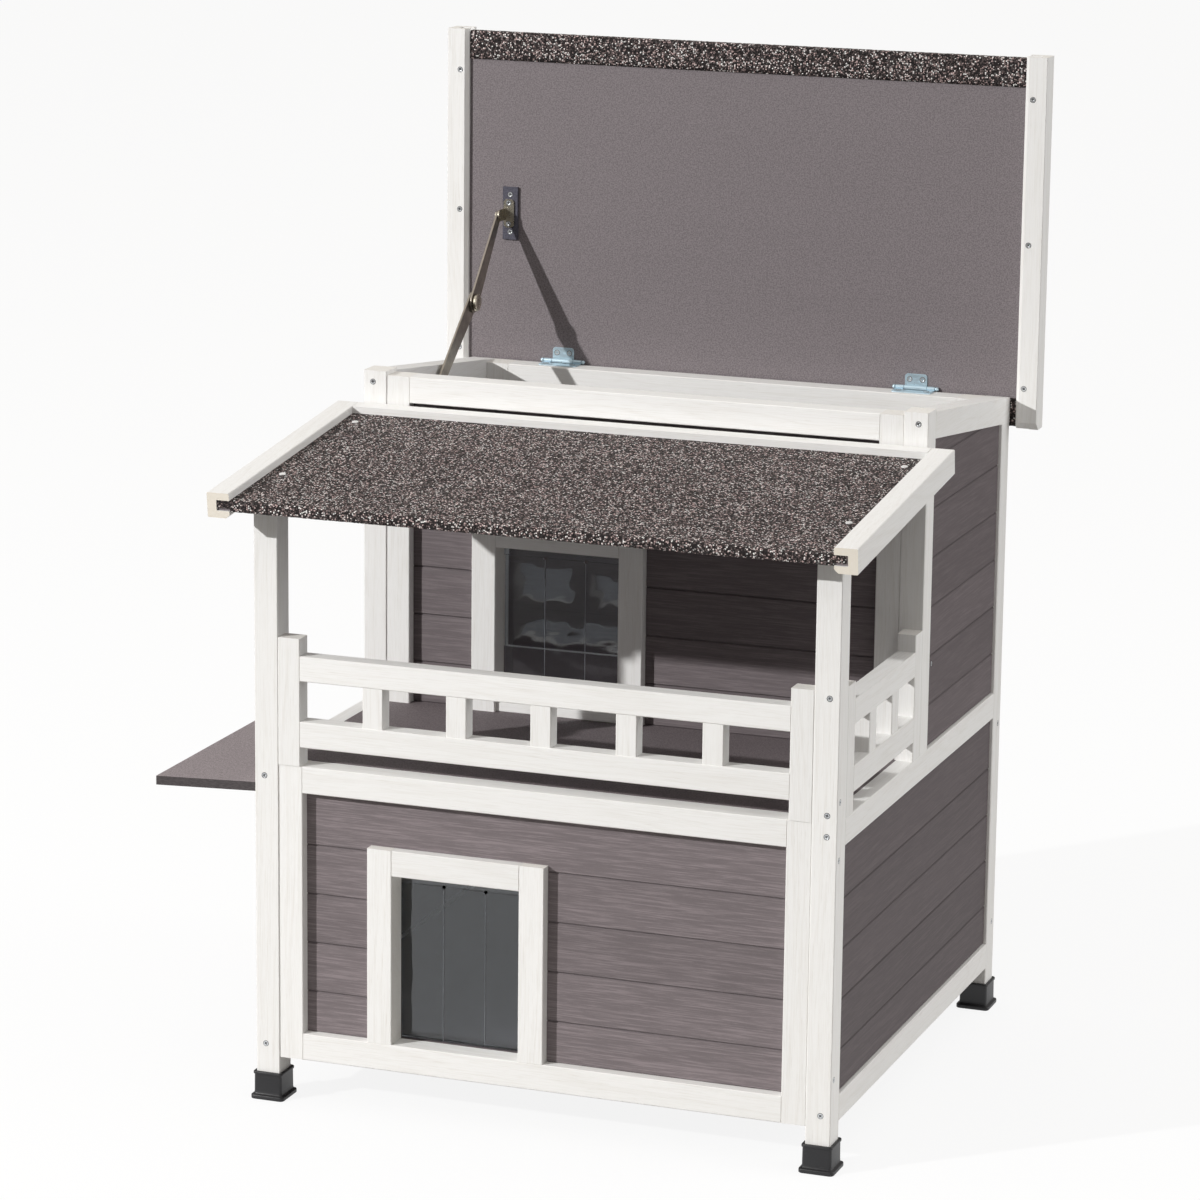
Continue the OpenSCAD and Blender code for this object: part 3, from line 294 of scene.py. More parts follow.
def white_timber(name, along, seed, cells=(), ends=0.3):
    """White-washed softwood: growth rings as warped bands, fine fibres, open pores and bare ends.

    cells lists (axis index, place, step): past that place the pattern starts afresh, so that no two
    timbers of a node share one grain."""
    paint = Paint(name)
    place = paint.axes()
    across, other, run, facing = run_axes(paint, along)
    start = sum((float(step) * (place[axis] > at) for axis, at, step in cells), paint.chance(seed) * 0)
    tone = paint.chance(start + seed)
    shift = start * 0.31 + seed * 0.173
    fibre, ring = 1 / sizes().fibre, 1 / sizes().ring
    drift = paint.drawn(across * 9 + shift, other * 9, run * 2.2 + shift, 2.0)
    warped = (across + other * 0.55) * ring * 0.5 + drift * 5.0 + shift
    rings = paint.drawn(warped, other * 8, run * 1.6, 1.5)
    lines = abs((rings * 6.0).math("FRACT") - 0.5) * 2.0
    hair = paint.drawn(across * fibre, other * fibre, run * 26 + shift, 3.0, 0.6)
    pores = paint.drawn(across * fibre * 1.4 + 7, other * fibre * 1.4, run * 60, 1.0).between(0.62, 0.72)
    cloud = paint.drawn(across * 22 + shift, other * 22, run * 7)
    end = end_share(facing)
    bare = lines.between(0.5, 1.0) * 0.16 + hair.between(0.45, 0.72) * 0.30 + pores * 0.22
    bare = (bare + edge_share(paint) * 0.12) * (cloud * 0.9 + 0.45)
    base = paint.coats(hue("white"), (bare.math("MINIMUM", 1.0), hue("grain")),
                       (end * (0.6 + hair * 0.5) * ends, hue("end_grain")))
    base = paint.level(base, 0.955 + tone * 0.05 + cloud * 0.03)
    height = hair * 0.55 + lines * 0.25 - pores * 0.5
    return paint.done(base, 0.52 + hair * 0.16 + end * 0.12, height, 0.0004, 0.35, SATIN)


def grey_board(name, along, seed, floor_at, pitch, contrast=1.0, depth=1.0):
    """Matt grey paint over boards: each board has its own tone and its own raised, streaky grain.

    The boards are told apart by their height, counted from floor_at in steps of pitch."""
    paint = Paint(name)
    _, other, run, facing = run_axes(paint, along)
    z = paint.axes()[2]
    count = ((z - floor_at) / pitch).math("FLOOR")
    tone = paint.chance(count + seed)
    shift = count * 1.7 + seed * 0.9
    drift = paint.drawn(z * 16, other * 4, run * 3 + shift, 2.0)
    bands = paint.drawn(z * 210 + drift * 7 + shift, other * 10, run * 4 + shift, 2.0, 0.6)
    streaks = paint.drawn(z * 760, other * 200, run * 22 + shift, 4.0, 0.7)
    speck = paint.drawn(z * 900, other * 900, run * 600, 2.0)
    pale = bands.between(0.46, 0.66) * 0.3 + streaks.between(0.46, 0.62) * 0.9
    base = paint.coats(
        hue("boards", 0.86),
        ((pale * 0.75 * contrast).math("MINIMUM", 1.0), hue("boards", 1.32)),
        (speck.between(0.55, 0.8) * 0.3, hue("boards", 1.5)),
        (edge_share(paint) * 0.6 + end_share(facing) * 0.3, hue("boards", 0.72)))
    # Painted shade: depth scales the whole colour, so walls turned from the lamp or standing under the porch
    # roof are darker copies of one board paint.
    base = paint.level(base, (0.93 + tone * 0.13) * depth)
    height = bands * 0.4 + streaks * 0.6 + speck * 0.15
    return paint.done(base, 0.62 + streaks * 0.18, height, 0.0005, 0.45 * contrast, MATT)


def grey_sheet(name, along, seed, tint="panel", end_tone=1.12, end_cover=0.25):
    """Matt grey paint on plywood: a soft veneer figure under a fine, even paint grain.

    The sheet's ends take end_tone times the tint, mixed in by end_cover."""
    paint = Paint(name)
    across, other, run, facing = run_axes(paint, along)
    figure = paint.drawn(across * 30 + seed, other * 30, run * 4, 3.0, 0.6)
    hair = paint.drawn(across * 500, other * 500, run * 40 + seed, 3.0, 0.6)
    grain = paint.noise(paint.place, 640.0, 2.0, 0.9)
    scuff = paint.drawn(across * 6 + seed, other * 6, run * 3, 4.0, 0.6)
    rings = paint.drawn(across * 260, other * 900 + seed, run * 40, 3.0, 0.7)
    end = paint.mix(rings.between(0.4, 0.6), hue(tint, end_tone * 0.8), hue(tint, end_tone * 1.2))
    base = paint.coats(
        hue(tint, 0.98), (figure.between(0.3, 0.7), hue(tint, 1.03)),
        (hair.between(0.5, 0.75) * 0.2, hue(tint, 1.15)),
        (grain.between(0.40, 0.60) * 0.85, hue(tint, 0.66)),
        (grain.between(0.60, 0.42) * 0.5, hue(tint, 1.3)),
        (scuff.between(0.58, 0.75) * 0.15, hue(tint, 1.12)),
        (end_share(facing) * end_cover, end))
    return paint.done(base, 0.66 + scuff * 0.12, grain * 0.6 + hair * 0.4, 0.0003, 0.3, MATT)


def roof_felt():
    """Mineral felt: each cell of the pattern is a granule with its own colour, height and gloss."""
    paint = Paint("mineral_felt")
    scale = 1 / sizes().granule
    warp = paint.noise(paint.place, scale * 0.6, 1.0)
    at = paint.node("VectorMath", {"operation": "ADD"},
                    {0: paint.place, 1: paint.vector(warp * 0.0008, warp * -0.0008, warp * 0.0006)})
    cell = paint.node("TexVoronoi", {}, {"Vector": at, "Scale": scale}, "Color")
    depth = Value(paint, cell.socket.node.outputs["Distance"])
    chance, lift, gloss = paint.axes(cell)
    grit = paint.noise(paint.place, 2600.0, 2.0, 0.7)
    patch = paint.noise(paint.place, 14.0, 3.0, 0.6)
    stops = ((0.0, "dark", 0.5), (0.26, "dark", 1.0), (0.44, "brown", 0.8), (0.60, "brown", 2.2),
             (0.73, "brown", 4.2), (0.83, "pale", 1.0), (0.92, "pale", 1.15))
    base = paint.node("ValToRGB", {"ramp": "CONSTANT", "stops": [
        (place, hue("felt_" + name, factor)) for place, name, factor in stops]}, {0: chance})
    base = paint.mix(depth.between(0.34, 0.60) * 0.9, base, hue("felt_dark", 0.6))
    base = paint.level(base, 0.78 + patch * 0.36 + grit * 0.12)
    height = (1 - depth.between(0.05, 0.7)) * (0.45 + lift * 0.55) + grit * 0.12
    return paint.done(base, 0.92 - gloss * 0.35, height, 0.0011, 0.8, SATIN)


def foot_plastic():
    """Black moulded plastic with a fine spark-eroded texture, scuffed paler near the ground."""
    paint = Paint("foot_plastic")
    x, y, z = paint.axes()
    texture = paint.noise(paint.place, 1500.0, 2.0, 0.6)
    scratch = paint.drawn(x * 90, y * 90, z * 700, 3.0, 0.6)
    scuff = scratch.between(0.6, 0.75) * (1 - z.between(0.001, 0.02))
    dust = paint.noise(paint.place, 45.0, 4.0, 0.6).between(0.5, 0.8)
    base = paint.mix(scuff * 0.5 + dust * 0.10, hue("plastic"), hue("plastic", 5.5))
    rough = 0.36 + texture * 0.18 + scuff * 0.2
    return paint.done(base, rough, texture * 0.6 + scratch * 0.3, 0.0002, 0.35)


def plated(name, tint, rough, streak, grain=320.0, edge_gain=1.2, metal=1.0):
    """Plated sheet metal: drawn streaks, small stains and brighter worn edges."""
    paint = Paint(name)
    drawn = paint.drawn(*(part * pull for part, pull in zip(paint.axes(), streak)), 3.0, 0.6)
    stain = paint.noise(paint.place, grain, 4.0, 0.6)
    pit = paint.noise(paint.place, 2400.0, 1.0).between(0.66, 0.74)
    base = paint.coats(
        hue(tint, 0.82), (drawn.between(0.35, 0.7), hue(tint, 1.1)),
        (stain.between(0.55, 0.72) * 0.35, hue(tint, 0.6)),
        (edge_share(paint) * 0.5, hue(tint, edge_gain)))
    rough = rough + stain * 0.16 + pit * 0.2
    return paint.done(base, rough, drawn * 0.5 - pit * 0.5, 0.00012, 0.4, {"Metallic": metal})


def clear_sheet():
    """Clear soft sheet with a rolled, faintly rippled surface."""
    paint = Paint("clear_sheet")
    x, y, z = paint.axes()
    ripple = paint.drawn(x * 14, y * 14, z * 42, 2.0, 0.4)
    haze = paint.noise(paint.place, 60.0, 3.0, 0.6)
    rub = paint.drawn(x * 900, y * 900, z * 60, 2.0, 0.6).between(0.66, 0.8)
    base = paint.mix(haze.between(0.4, 0.7) * 0.3, hue("sheet"), hue("sheet", 0.9))
    return paint.done(base, 0.02 + haze * 0.02 + rub * 0.05, ripple, 0.0012, 0.3,
                      {"Transmission Weight": 1.0, "IOR": 1.62})


def cut_sheet():
    """Cut edge of a clear sheet: cloudy and pale, with fine cutting marks."""
    paint = Paint("cut_sheet")
    x, y, z = paint.axes()
    marks = paint.drawn(x * 300, y * 2500, z * 220, 3.0, 0.6)
    base = paint.mix(marks.between(0.3, 0.7), (0.40, 0.42, 0.46), (0.66, 0.68, 0.72))
    return paint.done(base, 0.45 + marks * 0.25, marks, 0.0002, 0.4)


# Meshes


def gathered(items, what, kind=float):
    """An array with a row of three numbers for each item of a mesh."""
    values = np.empty(len(items) * 3, kind)
    items.foreach_get(what, values)
    return values.reshape(-1, 3)


def second_finish(piece, material, picked):
    """Gives the picked faces of a piece another material."""
    piece.data.materials.append(material)
    piece.data.polygons.foreach_set("material_index", np.asarray(picked, np.int32))
    piece.data.update()


def linked(name, data):
    """A new object in the scene."""
    item = bpy.data.objects.new(name, data)
    bpy.context.scene.collection.objects.link(item)
    return item


def build(name, points, faces, material, body, slot, nodes=(), smooth=True):
    """Puts points and faces into an object that rides on a body and stands for CAD nodes."""
    mesh = bpy.data.meshes.new(name)
    mesh.from_pydata(np.asarray(points, float).reshape(-1, 3).tolist(), [], faces)
    mesh.validate()
    mesh.polygons.foreach_set("use_smooth", np.full(len(mesh.polygons), smooth))
    mesh.materials.append(material)
    mesh.update()
    piece = linked(name, mesh)
    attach(piece, body)
    if nodes:
        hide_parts(*nodes)
    return piece


def skin(rings, flip=False):
    """Closed skin through rings of points: faces between neighbouring rings, and a cap at each end."""
    rows, columns = rings.shape[:2]
    first = np.arange(rows - 1)[:, None] * columns
    here, beside = first + np.arange(columns), first + (np.arange(columns) + 1) % columns
    faces = np.stack([here, beside, beside + columns, here + columns], -1).reshape(-1, 4).tolist()
    faces += [list(range(columns - 1, -1, -1)), list(range((rows - 1) * columns, rows * columns))]
    if flip:
        faces = [face[::-1] for face in faces]
    return rings.reshape(-1, 3), faces


def together(*parts):
    """Joins (points, faces) pairs into one."""
    points, faces, count = [], [], 0
    for some, quad in parts:
        points.append(np.asarray(some, float).reshape(-1, 3))
        faces += [[i + count for i in face] for face in quad]
        count += len(points[-1])
    return np.concatenate(points), faces


def rounded_box(width, depth, radius, per_corner=6):
    """Outline of a rectangle with round corners: a quarter circle about each inner corner."""
    turn = np.linspace(0, math.pi / 2, per_corner)
    quarter = np.stack([np.cos(turn), np.sin(turn)], 1) * radius
    outline = []
    for i, (sx, sy) in enumerate([(1, 1), (-1, 1), (-1, -1), (1, -1)]):
        a = i * math.pi / 2
        spin = np.array([[math.cos(a), -math.sin(a)], [math.sin(a), math.cos(a)]])
        outline.append(quarter @ spin.T + [sx * (width / 2 - radius), sy * (depth / 2 - radius)])
    return np.concatenate(outline)


def plate(outline, low, high, axis, ease=0.0002):
    """An outline given thickness along an axis, its two rims eased by a small chamfer.

    The outline shrinks towards its middle by the ease at both faces."""
    middle = outline.mean(0)
    reach = np.linalg.norm(outline - middle, axis=1, keepdims=True)
    inner = outline - (outline - middle) / reach * ease
    levels = [(inner, low), (outline, low + ease), (outline, high - ease), (inner, high)]
    order = {"X": (2, 0, 1), "Y": (0, 2, 1)}[axis]
    rings = np.stack([np.column_stack([o, np.full(len(o), level)])[:, order] for o, level in levels])
    return skin(rings, axis == "Y")


def turned(profile, start):
    """A profile of (along, radius) pairs turned round the X axis through start."""
    turn = np.linspace(0, 2 * math.pi, sizes().segments, endpoint=False)
    circle = np.stack([np.zeros(len(turn)), np.cos(turn), np.sin(turn)], 1)
    return skin(np.stack([circle * r + [a, 0, 0] + start for a, r in profile]))


def wobble(a, b, seed):
    """Smooth repeatable unevenness between -1 and 1: a sum of sines at unlike pitches."""
    spin = np.random.default_rng(seed).uniform(0, 2 * math.pi, 5)
    pitches = zip((23, 61, 137, 301, 577), (41, 17, 89, 211, 401), spin)
    waves = [np.sin(a * f + b * g + s) for f, g, s in pitches]
    return sum(w / (i + 1) for i, w in enumerate(waves)) / 2.3


def folded_sheet(path, thick, xs, rough, seed):
    """A sheet that follows a path in the YZ plane and runs along X.

    Its ring at each x is the path offset by half the thickness to both sides; granules push each point
    out or in along that offset by a small random amount."""
    path = np.asarray(path, float)
    step = np.gradient(path, axis=0)
    side = np.stack([-step[:, 1], step[:, 0]], 1) / np.linalg.norm(step, axis=1, keepdims=True)
    ring = np.concatenate([path + side * thick / 2, (path - side * thick / 2)[::-1]])
    out = np.concatenate([side, -side[::-1]])
    spread = np.random.default_rng(seed).uniform(-1, 0.15, (len(xs), len(ring)))
    moved = ring[None] + out[None] * (spread * rough)[..., None]
    return np.concatenate([np.broadcast_to(xs[:, None, None], (*moved.shape[:2], 1)), moved], 2)


def arc(centre, radius, start, stop, count):
    """Points on a circle in the YZ plane, angles in degrees."""
    turn = np.radians(np.linspace(start, stop, count))
    return np.stack([centre[0] + radius * np.cos(turn), centre[1] + radius * np.sin(turn)], 1)


# Operators


class CatHousePiece:
    """What every step shares: it is undone as one step."""

    bl_options = {"REGISTER", "UNDO"}


def paint_node(node, material):
    """Gives a CAD node its finish through its material slot."""
    item = frame["nodes"][node]
    item.data.materials.clear()
    item.data.materials.append(material)


MIDDLE = (span("post_front_left")[0][0] + span("post_front_right")[1][0]) / 2
UPPER = span("upper_floor")[1][2]
DOOR_LEFT = span("lower_flap_left")[0][0] - 2 * MM
DOOR_RIGHT = span("lower_flap_right")[1][0] + 2 * MM
BALUSTER_STEP = 90.3 * MM
SIDES = [(0, MIDDLE, 7)]
LEVELS = [(2, UPPER - 0.1, 3)]


def is_door_head(x, y, z):
    return (x > DOOR_LEFT) * (x < DOOR_RIGHT)


def is_side_rail(x, y, z):
    return x > span("balcony_posts")[1][0] - 0.03


class CATHOUSE_OT_timbers(CatHousePiece, bpy.types.Operator):
    """Finishes the white-washed posts, rails, stiles, battens and door frames"""

    bl_idname = "cathouse.timbers"
    bl_label = "White timbers"

    def execute(self, context):
        first = span("balcony_balusters")[0][0] + 50 * MM
        steps = [(0, first + BALUSTER_STEP * i, 2 + i) for i in range(6)]
        door = (("Z", "X", is_door_head), [(0, DOOR_LEFT, 3), (0, DOOR_RIGHT, 5)])
        corners = ("front_left", "front_right", "rear_left", "rear_right", "upper_left", "upper_right")
        plans = {
            **{"post_" + corner: ("Z", []) for corner in corners},
            "lower_front_stiles": ("Z", SIDES), "lower_front_rails": ("X", LEVELS), "lower_door_frame": door,
            "lower_side_rails_left": ("Y", LEVELS), "lower_side_rails_right": ("Y", LEVELS),
            "rear_stiles": ("Z", SIDES), "rear_rails": ("X", [(2, 0.2, 3), (2, 0.5, 5)]),
            "upper_front_stiles": ("Z", SIDES), "upper_front_rail": ("X", []), "upper_door_frame": door,
            "upper_threshold": ("X", []), "sloping_rail_left": ("Y", []), "sloping_rail_right": ("Y", []),
            "balcony_posts": ("Z", SIDES + [(1, -0.2, 5)]),
            "balcony_rails": (("X", "Y", is_side_rail), [(2, UPPER + 0.068, 4)]),
            "balcony_balusters": ("Z", steps + [(1, -0.16, 11)]),
            "porch_side_battens": ("Y", SIDES), "porch_rear_batten": ("X", []),
            "lid_battens": ("Z", SIDES), "shelf_cleat": ("Y", []), "flap_clamps": ("X", [(2, UPPER, 3)]),
        }
        for seed, (node, (along, cells)) in enumerate(plans.items()):
            ends = 1.0 if node == "porch_side_battens" else 0.3
            paint_node(node, white_timber("white_" + node, along, seed + 1, cells, ends))
        return {"FINISHED"}


BOARD_PITCH = 52 * MM


class CATHOUSE_OT_boards(CatHousePiece, bpy.types.Operator):
    """Finishes the grey cladding boards, the shelf and the stay's pad"""

    bl_idname = "cathouse.boards"
    bl_label = "Grey boards"

    def execute(self, context):
        first = span("lower_front_boards")[0][2] - 8.5 * MM
        upper = UPPER - 7.5 * MM
        # The last number of each plan is painted shade: the lit lower front is made a little paler, and the
        # sides, the rear and the upper front under the porch roof darker.
        plans = {
            "lower_front": ("X", first, 1.3, 1.04), "upper_front": ("X", upper, 1.0, 0.92),
            "lower_side_left": ("Y", first, 0.8, 0.68), "lower_side_right": ("Y", first, 0.8, 0.68),
            "upper_side_left": ("Y", upper, 0.8, 0.82), "upper_side_right": ("Y", upper, 0.8, 0.82),
            "rear": ("X", first, 0.9, 0.9),
        }
        for seed, (wall, (along, start, contrast, depth)) in enumerate(plans.items()):
            place, _, side = wall.partition("_side_")
            node = place + "_side_boards_" + side if side else place + "_boards"
            paint_node(node, grey_board("grey_" + node, along, seed * 3 + 2, start, BOARD_PITCH,
                                        contrast, depth))
        paint_node("shelf", grey_sheet("grey_shelf", "Y", 9, "shelf", 0.22, 1.0))
        paint_node("stay_block", grey_sheet("slate_stay_pad", "Z", 4, "pad"))
        return {"FINISHED"}


class CATHOUSE_OT_panels(CatHousePiece, bpy.types.Operator):
    """Finishes the painted floors and the roof panels"""

    bl_idname = "cathouse.panels"
    bl_label = "Painted panels"

    def execute(self, context):
        for node, seed, tint in (("upper_floor", 3, "boards"), ("lower_floor", 5, "boards"),
                                 ("porch_panel", 7, "panel"), ("lid_panel", 9, "panel")):
            paint_node(node, grey_sheet("grey_" + node, "X", seed, tint))
        return {"FINISHED"}


ROOF_SLOPE = math.radians(6.4)
BATTEN_HEIGHT = 26 * MM
BATTEN_WIDTH = 24.2 * MM  # with its clearance
FELT_THICK = 1.6 * MM
FELT_STEP = 2.2 * MM  # from one row of the felt's points to the next
PORCH_TOP, PORCH_UNDER = 8.5 * MM, 19.1 * MM  # depths of the two runs of felt below the battens' top


class CATHOUSE_OT_felt(CatHousePiece, bpy.types.Operator):
    """Lays the mineral felt over the porch roof and over the lid"""

    bl_idname = "cathouse.felt"
    bl_label = "Roof felt"

    def execute(self, context):
        felt = roof_felt()
        self.porch(felt, sizes().felt_rough)
        self.lid(felt, sizes().felt_rough)
        return {"FINISHED"}

    def porch(self, felt, rough):
        """The porch sheet in its sloping frame: a straight run, a round nose and a straight return."""
        low, high = span("porch_felt")
        left, right = span("porch_side_battens")
        c, s = math.cos(ROOF_SLOPE), math.sin(ROOF_SLOPE)
        start = np.array([left[1], left[2] + BATTEN_HEIGHT * c])
        nose, bend, ease = 1.6 * MM, 2.2 * MM, 3.4 * MM

        def place(run, depth):
            return start + np.array([c, s]) * run - np.array([-s, c]) * depth

        run_end = (right[1] - left[1]) / c - 10.8 * MM
        path = [place(r, PORCH_TOP) for r in (*np.linspace(run_end, 14 * MM, 40), 11 * MM, 8 * MM)]
        path += [place(nose + bend - bend * math.sin(t), PORCH_TOP + bend - bend * math.cos(t))
                 for t in np.linspace(0.15, math.pi / 2, 5)]
        path += [place(nose, d) for d in np.linspace(PORCH_TOP + ease, PORCH_UNDER - ease, 4)]
        tail = path[-2:]
        tail += [place(nose + bend - bend * math.cos(t), PORCH_UNDER - bend + bend * math.sin(t))
                 for t in np.linspace(0, math.pi / 2 - 0.15, 5)]
        tail += [place(r, PORCH_UNDER) for r in np.linspace(8 * MM, nose + sizes().felt_fold, 8)]
        fit = 0.3 * MM
        xs = np.arange(low[0] + fit, high[0] - fit, FELT_STEP)
        x0, x1 = left[0] + BATTEN_WIDTH, right[0] - BATTEN_WIDTH
        inner = np.array([x0, *xs[(xs > x0) & (xs < x1)], x1])
        points, faces = together(skin(folded_sheet(path, FELT_THICK, xs, rough, 3), True),
                                 skin(folded_sheet(tail, FELT_THICK, inner, rough, 5), True))
        build("felt_on_porch", points, faces, felt, "root", "roof_felt", ["porch_felt"])

    def lid(self, felt, rough):
        """The lid's sheet: down the outer face, round both ends of the panel and back onto the underside."""
        low, high = span("lid_felt")
        panel_low, panel_high = span("lid_panel")
        battens = span("lid_battens")
        back, front = panel_high[1] + FELT_THICK / 2, panel_low[1] - FELT_THICK / 2
        bottom, top = panel_low[2] - FELT_THICK / 2, panel_high[2] + FELT_THICK / 2
        r, fold = 1.6 * MM, sizes().felt_fold

        def end(z, sign):
            """From the middle of the outer face round one end of the panel and back underneath."""
            run = [(back, v) for v in np.linspace((bottom + top) / 2, z - sign * 8 * MM, 24)]
            run.append((back, z - sign * 3 * MM))
            for centre, first in ((back - r, 0), (front + r, 90)):
                turn = arc((centre, z - sign * r), r, sign * first, sign * (first + 90), 5)
                run += [tuple(point) for point in turn]
            return run + [(front, v) for v in np.linspace(z - sign * 4 * MM, z - sign * fold, 6)]

        path = end(bottom, -1)[::-1] + end(top, 1)[1:]
        x0, x1 = battens[0][0] + BATTEN_WIDTH, battens[1][0] - BATTEN_WIDTH
        wrap = folded_sheet(path, FELT_THICK, np.arange(x0, x1, FELT_STEP), rough, 7)
        flat = [(back, z) for z in np.linspace(panel_low[2], panel_high[2], 30)]
        sides = [skin(folded_sheet(flat, FELT_THICK, np.linspace(*ends, 6), 0, 9))
                 for ends in ((low[0], x0 - 0.2 * MM), (x1 + 2 * MM, high[0]))]
        points, faces = together(skin(wrap), *sides)
        build("felt_on_lid", points, faces, felt, "lid", "roof_felt", ["lid_felt"])


# Skin of a foot cup, outside and then inside, as (distance outside the post, height) in millimetres
FOOT_PROFILE = [
    (4.9, 0.0), (5.45, 0.5), (5.5, 1.0), (5.5, 3.6), (5.2, 4.3), (4.4, 4.7), (3.1, 5.2),
    (2.65, 6.2), (2.45, 9.0), (2.3, 25.6), (2.5, 26.2), (3.1, 26.6), (3.3, 27.1),
    (3.3, 28.8), (2.9, 29.4), (2.4, 29.5), (0.55, 29.5), (0.2, 29.2), (0.12, 28.6), (0.12, 3.0)]


class CATHOUSE_OT_feet(CatHousePiece, bpy.types.Operator):
    """Moulds the four black foot cups"""

    bl_idname = "cathouse.feet"
    bl_label = "Feet"

    def execute(self, context):
        parts = []
        for post in ("post_front_left", "post_front_right", "post_rear_left", "post_rear_right"):
            low, high = span(post)
            width, depth = (high - low)[:2]
            middle = (high + low) / 2
            rings = []
            for out, z in FOOT_PROFILE:
                corner = max(0.0008, sizes().foot_corner * (0.35 if out < 1 else 1) + (out - 3) * MM * 0.5)
                ring = rounded_box(width + 2 * out * MM, depth + 2 * out * MM, corner)
                rings.append(np.column_stack([ring + middle[:2], np.full(len(ring), z * MM)]))
            parts.append(skin(np.stack(rings)))
        build("foot_cups", *together(*parts), foot_plastic(), "root", "foot_plastic", ["feet"])
        return {"FINISHED"}


BAND_HEIGHT = 36 * MM
BAND_STEP = 0.35 * MM  # from one point of a band's edge to the next
REACH = 0.35 * MM  # how far a strip reaches into a slit, past its CAD solid


def flap_strip(low, high, left_slit, right_slit, seed):
    """A clear strip: a flat sheet bowed by a slow wave that grows towards its free end.

    Each row of points runs from edge to edge. At a slit the front face stops short of the back one,
    which leaves a slanted cut edge, and both draw in near the top round half a hole."""
    radius, slant = sizes().flap_hole, 0.2 * MM
    fall = np.concatenate([
        np.linspace(0, radius * 1.02, 12),
        np.linspace(1.5 * radius, high[2] - low[2], 60)])
    z = high[2] - fall
    draw = np.sqrt(np.clip(radius ** 2 - fall ** 2, 0, None))
    u = np.sort(np.append(np.linspace(0, 1, 13), [0.003, 0.997]))
    half = (high[1] - low[1]) / 2
    faces_of = []
    for back in (0, 1):
        inset = draw + slant * (1 - back) - REACH
        x0, x1 = low[0] + inset * left_slit, high[0] - inset * right_slit
        x = x0[:, None] + (x1 - x0)[:, None] * u
        down = np.broadcast_to(fall[:, None], x.shape)
        bow = sizes().flap_wave * wobble(x * 0.35, down * 0.4, seed) * np.minimum(1, down / 0.04)
        y = (low[1] + high[1]) / 2 + bow + (2 * back - 1) * half
        faces_of.append(np.stack([x, y, np.broadcast_to(z[:, None], x.shape)], 2))
    front, rear = faces_of
    return skin(np.concatenate([front, rear[:, ::-1]], 1), flip=True)


class CATHOUSE_OT_flaps(CatHousePiece, bpy.types.Operator):
    """Hangs the clear flap strips and their uncut bands in both doors"""

    bl_idname = "cathouse.flaps"
    bl_label = "Door flaps"

    def execute(self, context):
        clear, cut = clear_sheet(), cut_sheet()
        bands = []
        low, high = span("flap_bands")
        for level, seed in (("lower", 11), ("upper", 23)):
            strips = []
            for i, side in enumerate(("left", "middle", "right")):
                node = f"{level}_flap_{side}"
                strips.append(span(node))
                points, faces = flap_strip(strips[i][0], strips[i][1] + [0, 0, 0.5 * MM], i > 0, i < 2, seed)
                piece = build(f"clear_{level}_strip_{side}", points, faces, clear, node, "clear_pvc", [node])
                second_finish(piece, cut, np.abs(gathered(piece.data.polygons, "normal")[:, 0]) > 0.5)
            bands.append(self.band(strips, low, high))
        build("clear_bands", *together(*bands), clear, "root", "clear_pvc", ["flap_bands"], False)
        return {"FINISHED"}

    def band(self, strips, low, high):
        """An uncut band: its lower edge is straight, with half a round hole above each slit."""
        radius = sizes().flap_hole
        y0, y1, strip_top = strips[0][0][1], *strips[0][1][1:]
        foot = strip_top + 0.6 * MM
        x = np.arange(low[0], high[0] + 0.2 * MM, BAND_STEP)
        edge = np.full(len(x), foot)
        for a, b in zip(strips, strips[1:]):
            hole = (a[1][0] + b[0][0]) / 2
            edge = np.maximum(edge, strip_top + np.sqrt(np.clip(radius ** 2 - (x - hole) ** 2, 0, None)))
        flat = np.full(len(x), foot + BAND_HEIGHT)
        sides = ((y0, edge), (y0, flat), (y1, flat), (y1, edge))
        return skin(np.stack([np.stack([x, np.full(len(x), y), z], 1) for y, z in sides], 1))


# Profiles of a hinge's round parts about its pin, as (along, radius) in millimetres
UPPER_BARREL = [(-12.5, 1.3), (-12.5, 2.2), (-12.3, 2.4), (12.3, 2.4), (12.5, 2.2), (12.5, 1.3)]
LOWER_BARREL = [(12.9, 1.3), (12.9, 2.2), (13.1, 2.4), (21.8, 2.4), (22.0, 2.2), (22.0, 1.3)]
BALL = [(22.2, 0.6), (22.3, 1.4), (22.9, 2.1), (23.8, 2.35), (24.7, 2.25), (25.5, 1.8), (26.1, 1.1),
        (26.35, 0.3)]
PIN = [(-22.2, 1.2), (22.2, 1.2)]
BARREL, LEAF_THICK = 2.4 * MM, 1.2 * MM
HALF_LEAF, HALF_NOTCH, UPPER_HALF = 22 * MM, 12.9 * MM, 12.5 * MM
UPPER_REACH, LOWER_REACH, NOTCH_DEPTH = 15 * MM, 20 * MM, 8 * MM


